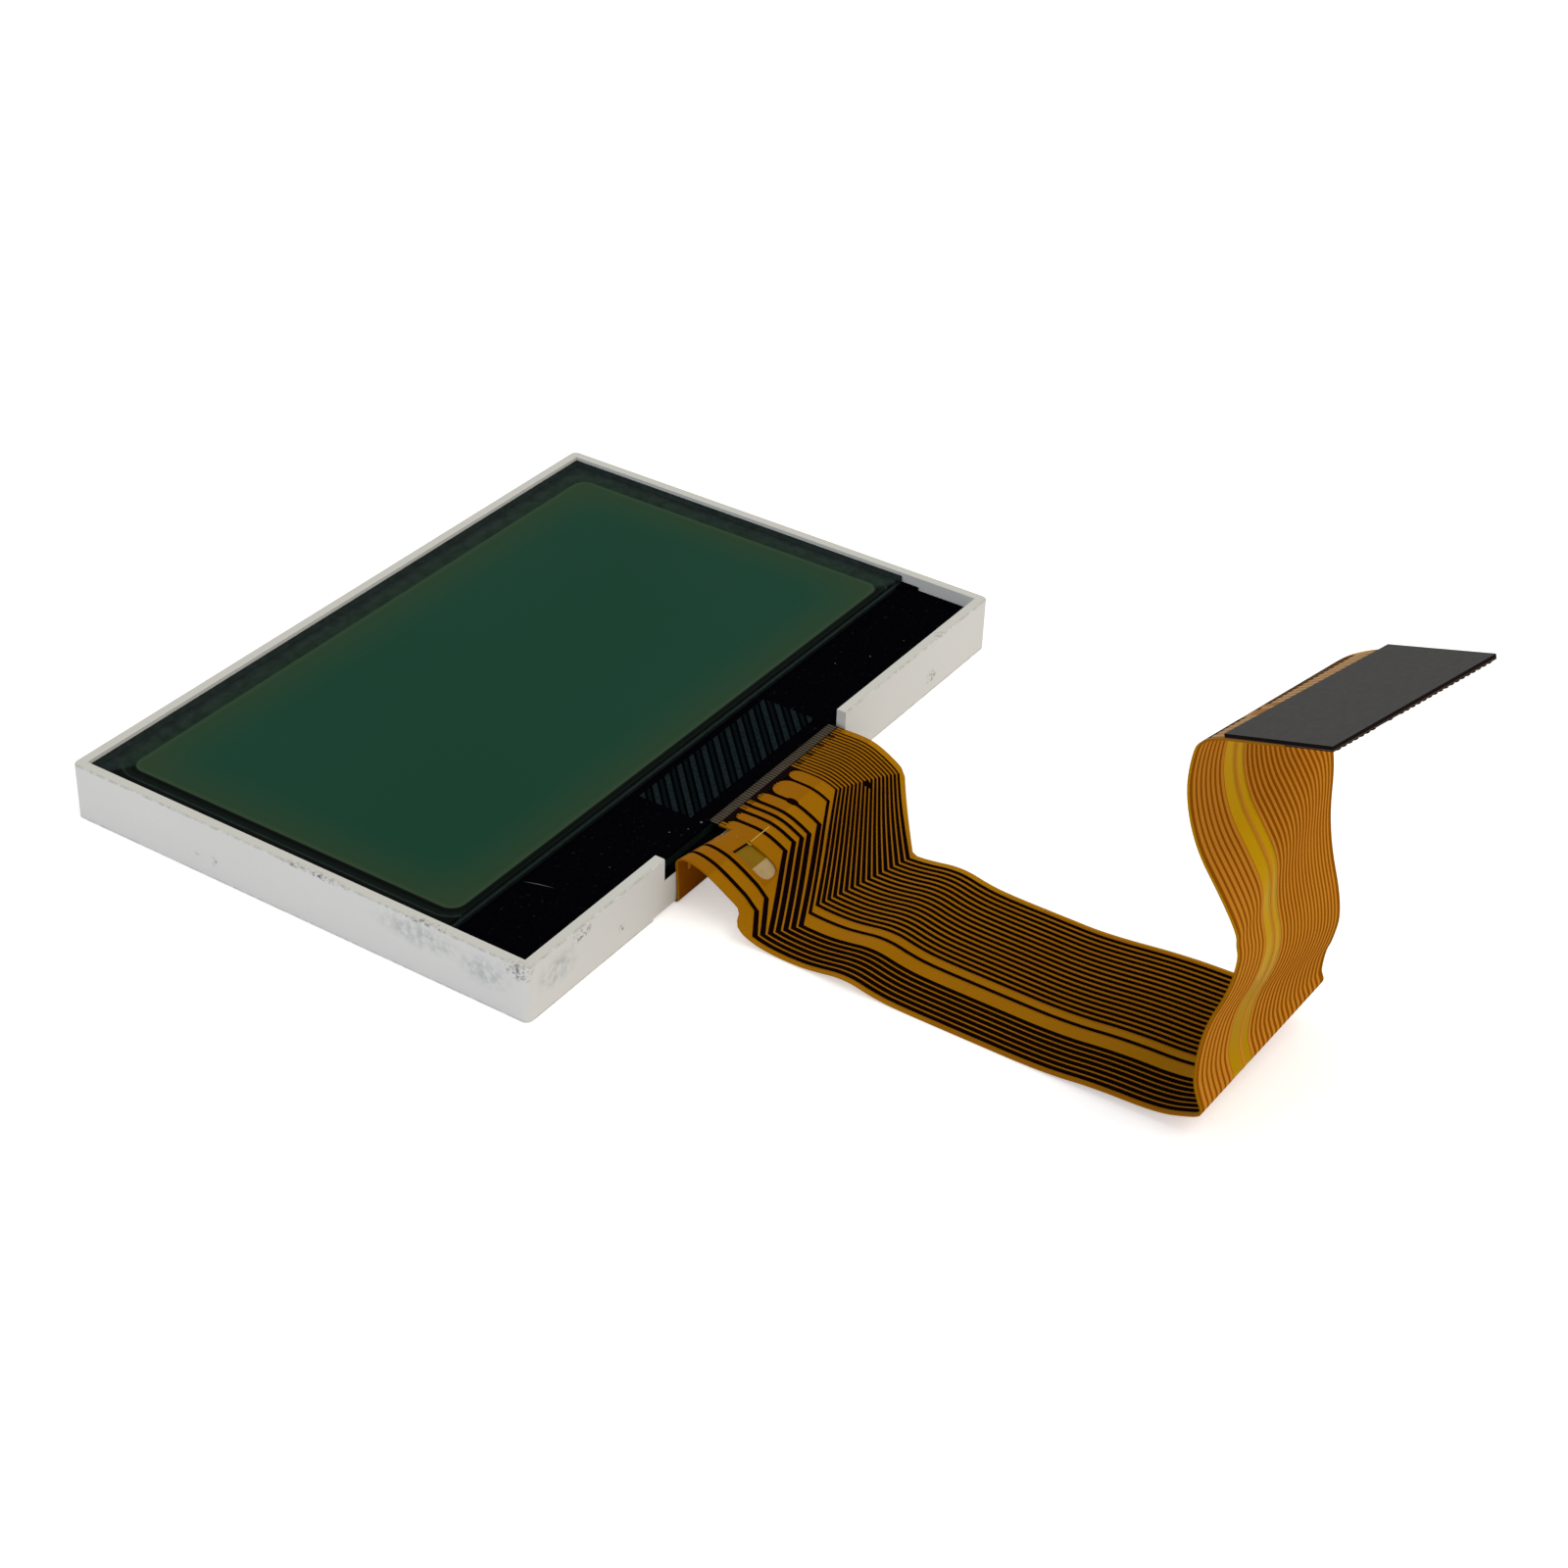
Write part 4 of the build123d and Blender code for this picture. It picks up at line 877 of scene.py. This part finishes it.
# Bond strip: the grey conductive film that shows along the glass edge, with the fine contact lines
# of the glass in it, and the black coat run over the end of the circuit behind it. A small tree
# makes the row of contact lines, which is then laid on the guide as the conductors are.
bond_grey = plain_finish("grey_bond_strip", "#3C362C", "#585044", 0.8, 0.5, 0.05)
bond_dark = plain_finish("dark_contact_lines", "#15110C", "#241D14", 0.6, 0.5, 0.0)
bond_low = 0.38
bond_high = 1.14
grey = strip([(bond_low, head_near), (bond_high, head_near)],
             [(bond_low, head_far - 0.1), (bond_high, head_far - 0.1)])
lay_piece("bond_strip", [grey], 0.012, 0.004, bond_grey)
row_tree = bpy.data.node_groups.new("row_of_lines", "GeometryNodeTree")
for name, kind, way in (("Line", "Geometry", "INPUT"), ("Count", "Int", "INPUT"),
                        ("Spacing", "Float", "INPUT"),
                        ("Finish", "Material", "INPUT"), ("Row", "Geometry", "OUTPUT")):
    row_tree.interface.new_socket(name, in_out=way, socket_type="NodeSocket" + kind)
given = add(row_tree, "NodeGroupInput")
step = add(row_tree, "ShaderNodeCombineXYZ", {0: given.outputs["Spacing"]})
marks = add(row_tree, "GeometryNodeMeshLine", {"Count": given.outputs["Count"], "Offset": step.outputs[0]})
each = add(row_tree, "GeometryNodeInstanceOnPoints",
           {"Points": marks.outputs[0], "Instance": given.outputs["Line"]})
whole = add(row_tree, "GeometryNodeRealizeInstances", {0: each.outputs[0]})
finished = add(row_tree, "GeometryNodeSetMaterial",
               {"Geometry": whole.outputs[0], "Material": given.outputs["Finish"]})
add(row_tree, "NodeGroupOutput", {0: finished.outputs[0]})
first_line = [(run, head_near + 0.16, head_near + 0.24) for run in (bond_low - 0.55, bond_high)]
lay_piece("bond_contact_lines", [first_line], 0.016, 0.008, bond_dark,
          row=(row_tree, 54, 0.27))
end_coat = strip([(bond_high - 0.06, head_near - 0.12), (2.14, head_near - 0.12)],
                 [(bond_high - 0.06, head_far + 0.12), (2.14, head_far + 0.12)])
lay_piece("ledge_coat_edge", [end_coat], 0.03, -0.02, black)
bpy.data.objects.remove(guide)


# Stiffener: dark grey board glued to the back of the free end, with a very fine matt face, a few
# dark specks and nearly black cut sides.
board, tree = new_material("dark_grey_stiffener_sheet")
place = add(tree, "ShaderNodeTexCoord").outputs["Object"]
fine = add(tree, "ShaderNodeTexNoise", {"Vector": place, "Scale": 1 / (0.4 * mm), "Detail": 5.0})
shade = add(tree, "ShaderNodeMix", {0: fine.outputs[0], 6: colour("#3E3E3E"), 7: colour("#4C4C4C")},
            data_type="RGBA")
grit = add(tree, "ShaderNodeTexNoise",
           {"Vector": place, "Scale": 1 / (0.5 * mm), "Detail": 6.0, "Roughness": 0.75})
grit_mask = add(tree, "ShaderNodeMapRange", {"Value": grit.outputs[0], "From Min": 0.68, "From Max": 0.74})
shade = add(tree, "ShaderNodeMix", {0: grit_mask.outputs[0], 6: shade.outputs[2], 7: colour("#222222")},
            data_type="RGBA")
facing = add(tree, "ShaderNodeVectorMath",
             {0: add(tree, "ShaderNodeNewGeometry").outputs["Normal"], 1: plate_up},
             operation="DOT_PRODUCT")
flatness = add(tree, "ShaderNodeMath", {0: facing.outputs["Value"]}, operation="ABSOLUTE")
face_mask = add(tree, "ShaderNodeMapRange",
                {"Value": flatness.outputs[0], "From Min": 0.5, "From Max": 0.8})
shade = add(tree, "ShaderNodeMix", {0: face_mask.outputs[0], 6: colour("#140B08"), 7: shade.outputs[2]},
            data_type="RGBA")
surface = add(tree, "ShaderNodeBsdfPrincipled", {"Base Color": shade.outputs[2], "Roughness": 0.6,
              "Specular IOR Level": 0.03})
add(tree, "ShaderNodeOutputMaterial", {"Surface": surface.outputs[0]})
dress("stiffener", board)


# Hidden pieces: the sheets of the backlight, the die, the lamps and the joints. Each has its own plain
# shade of its real finish.
inner = {
    "reflector_sheet": ("white_reflector_film", "#EDEDEA", "#F4F4F2", 0.2),
    "light_guide": ("clear_light_guide", "#D8E0E0", "#E4ECEC", 0.05),
    "lower_diffuser": ("milky_diffuser_film", "#E6E6E2", "#EEEEEA", 0.6),
    "upper_diffuser": ("milky_diffuser_film", "#E6E6E2", "#EEEEEA", 0.6),
    "rear_polariser": ("rear_polariser_film", "#16241C", "#22342A", 0.3),
    "liquid_crystal": ("dark_green_crystal", "#173C2E", "#20483A", 0.3),
    "fill_plug": ("cured_clear_resin", "#B8AC88", "#C8BE9C", 0.2),
    "driver_chip": ("bare_silicon", "#2A2A30", "#3A3A42", 0.15),
    "bond_film": ("grey_conductive_film", "#5E574A", "#7A7060", 0.5),
    "contact_plating": ("gold_flash_contacts", "#C89A48", "#D8AC58", 0.25),
    "stiffener_adhesive": ("brown_adhesive_sheet", "#22120A", "#34200F", 0.5),
    "lamp_board": ("white_lamp_board", "#DEDEDA", "#E8E8E4", 0.4),
    "side_lamps": ("pale_yellow_lamp_body", "#E6DFA8", "#EFEAC0", 0.3),
    "tab_solder": ("tin_solder", "#A8A8A8", "#C0C0C0", 0.3),
}
for node_name, (finish, dim, bright, rough) in inner.items():
    metallic = 1.0 if node_name in ("contact_plating", "tab_solder") else 0.0
    dress(node_name, plain_finish(finish, dim, bright, 2, rough, 0.5, metallic))
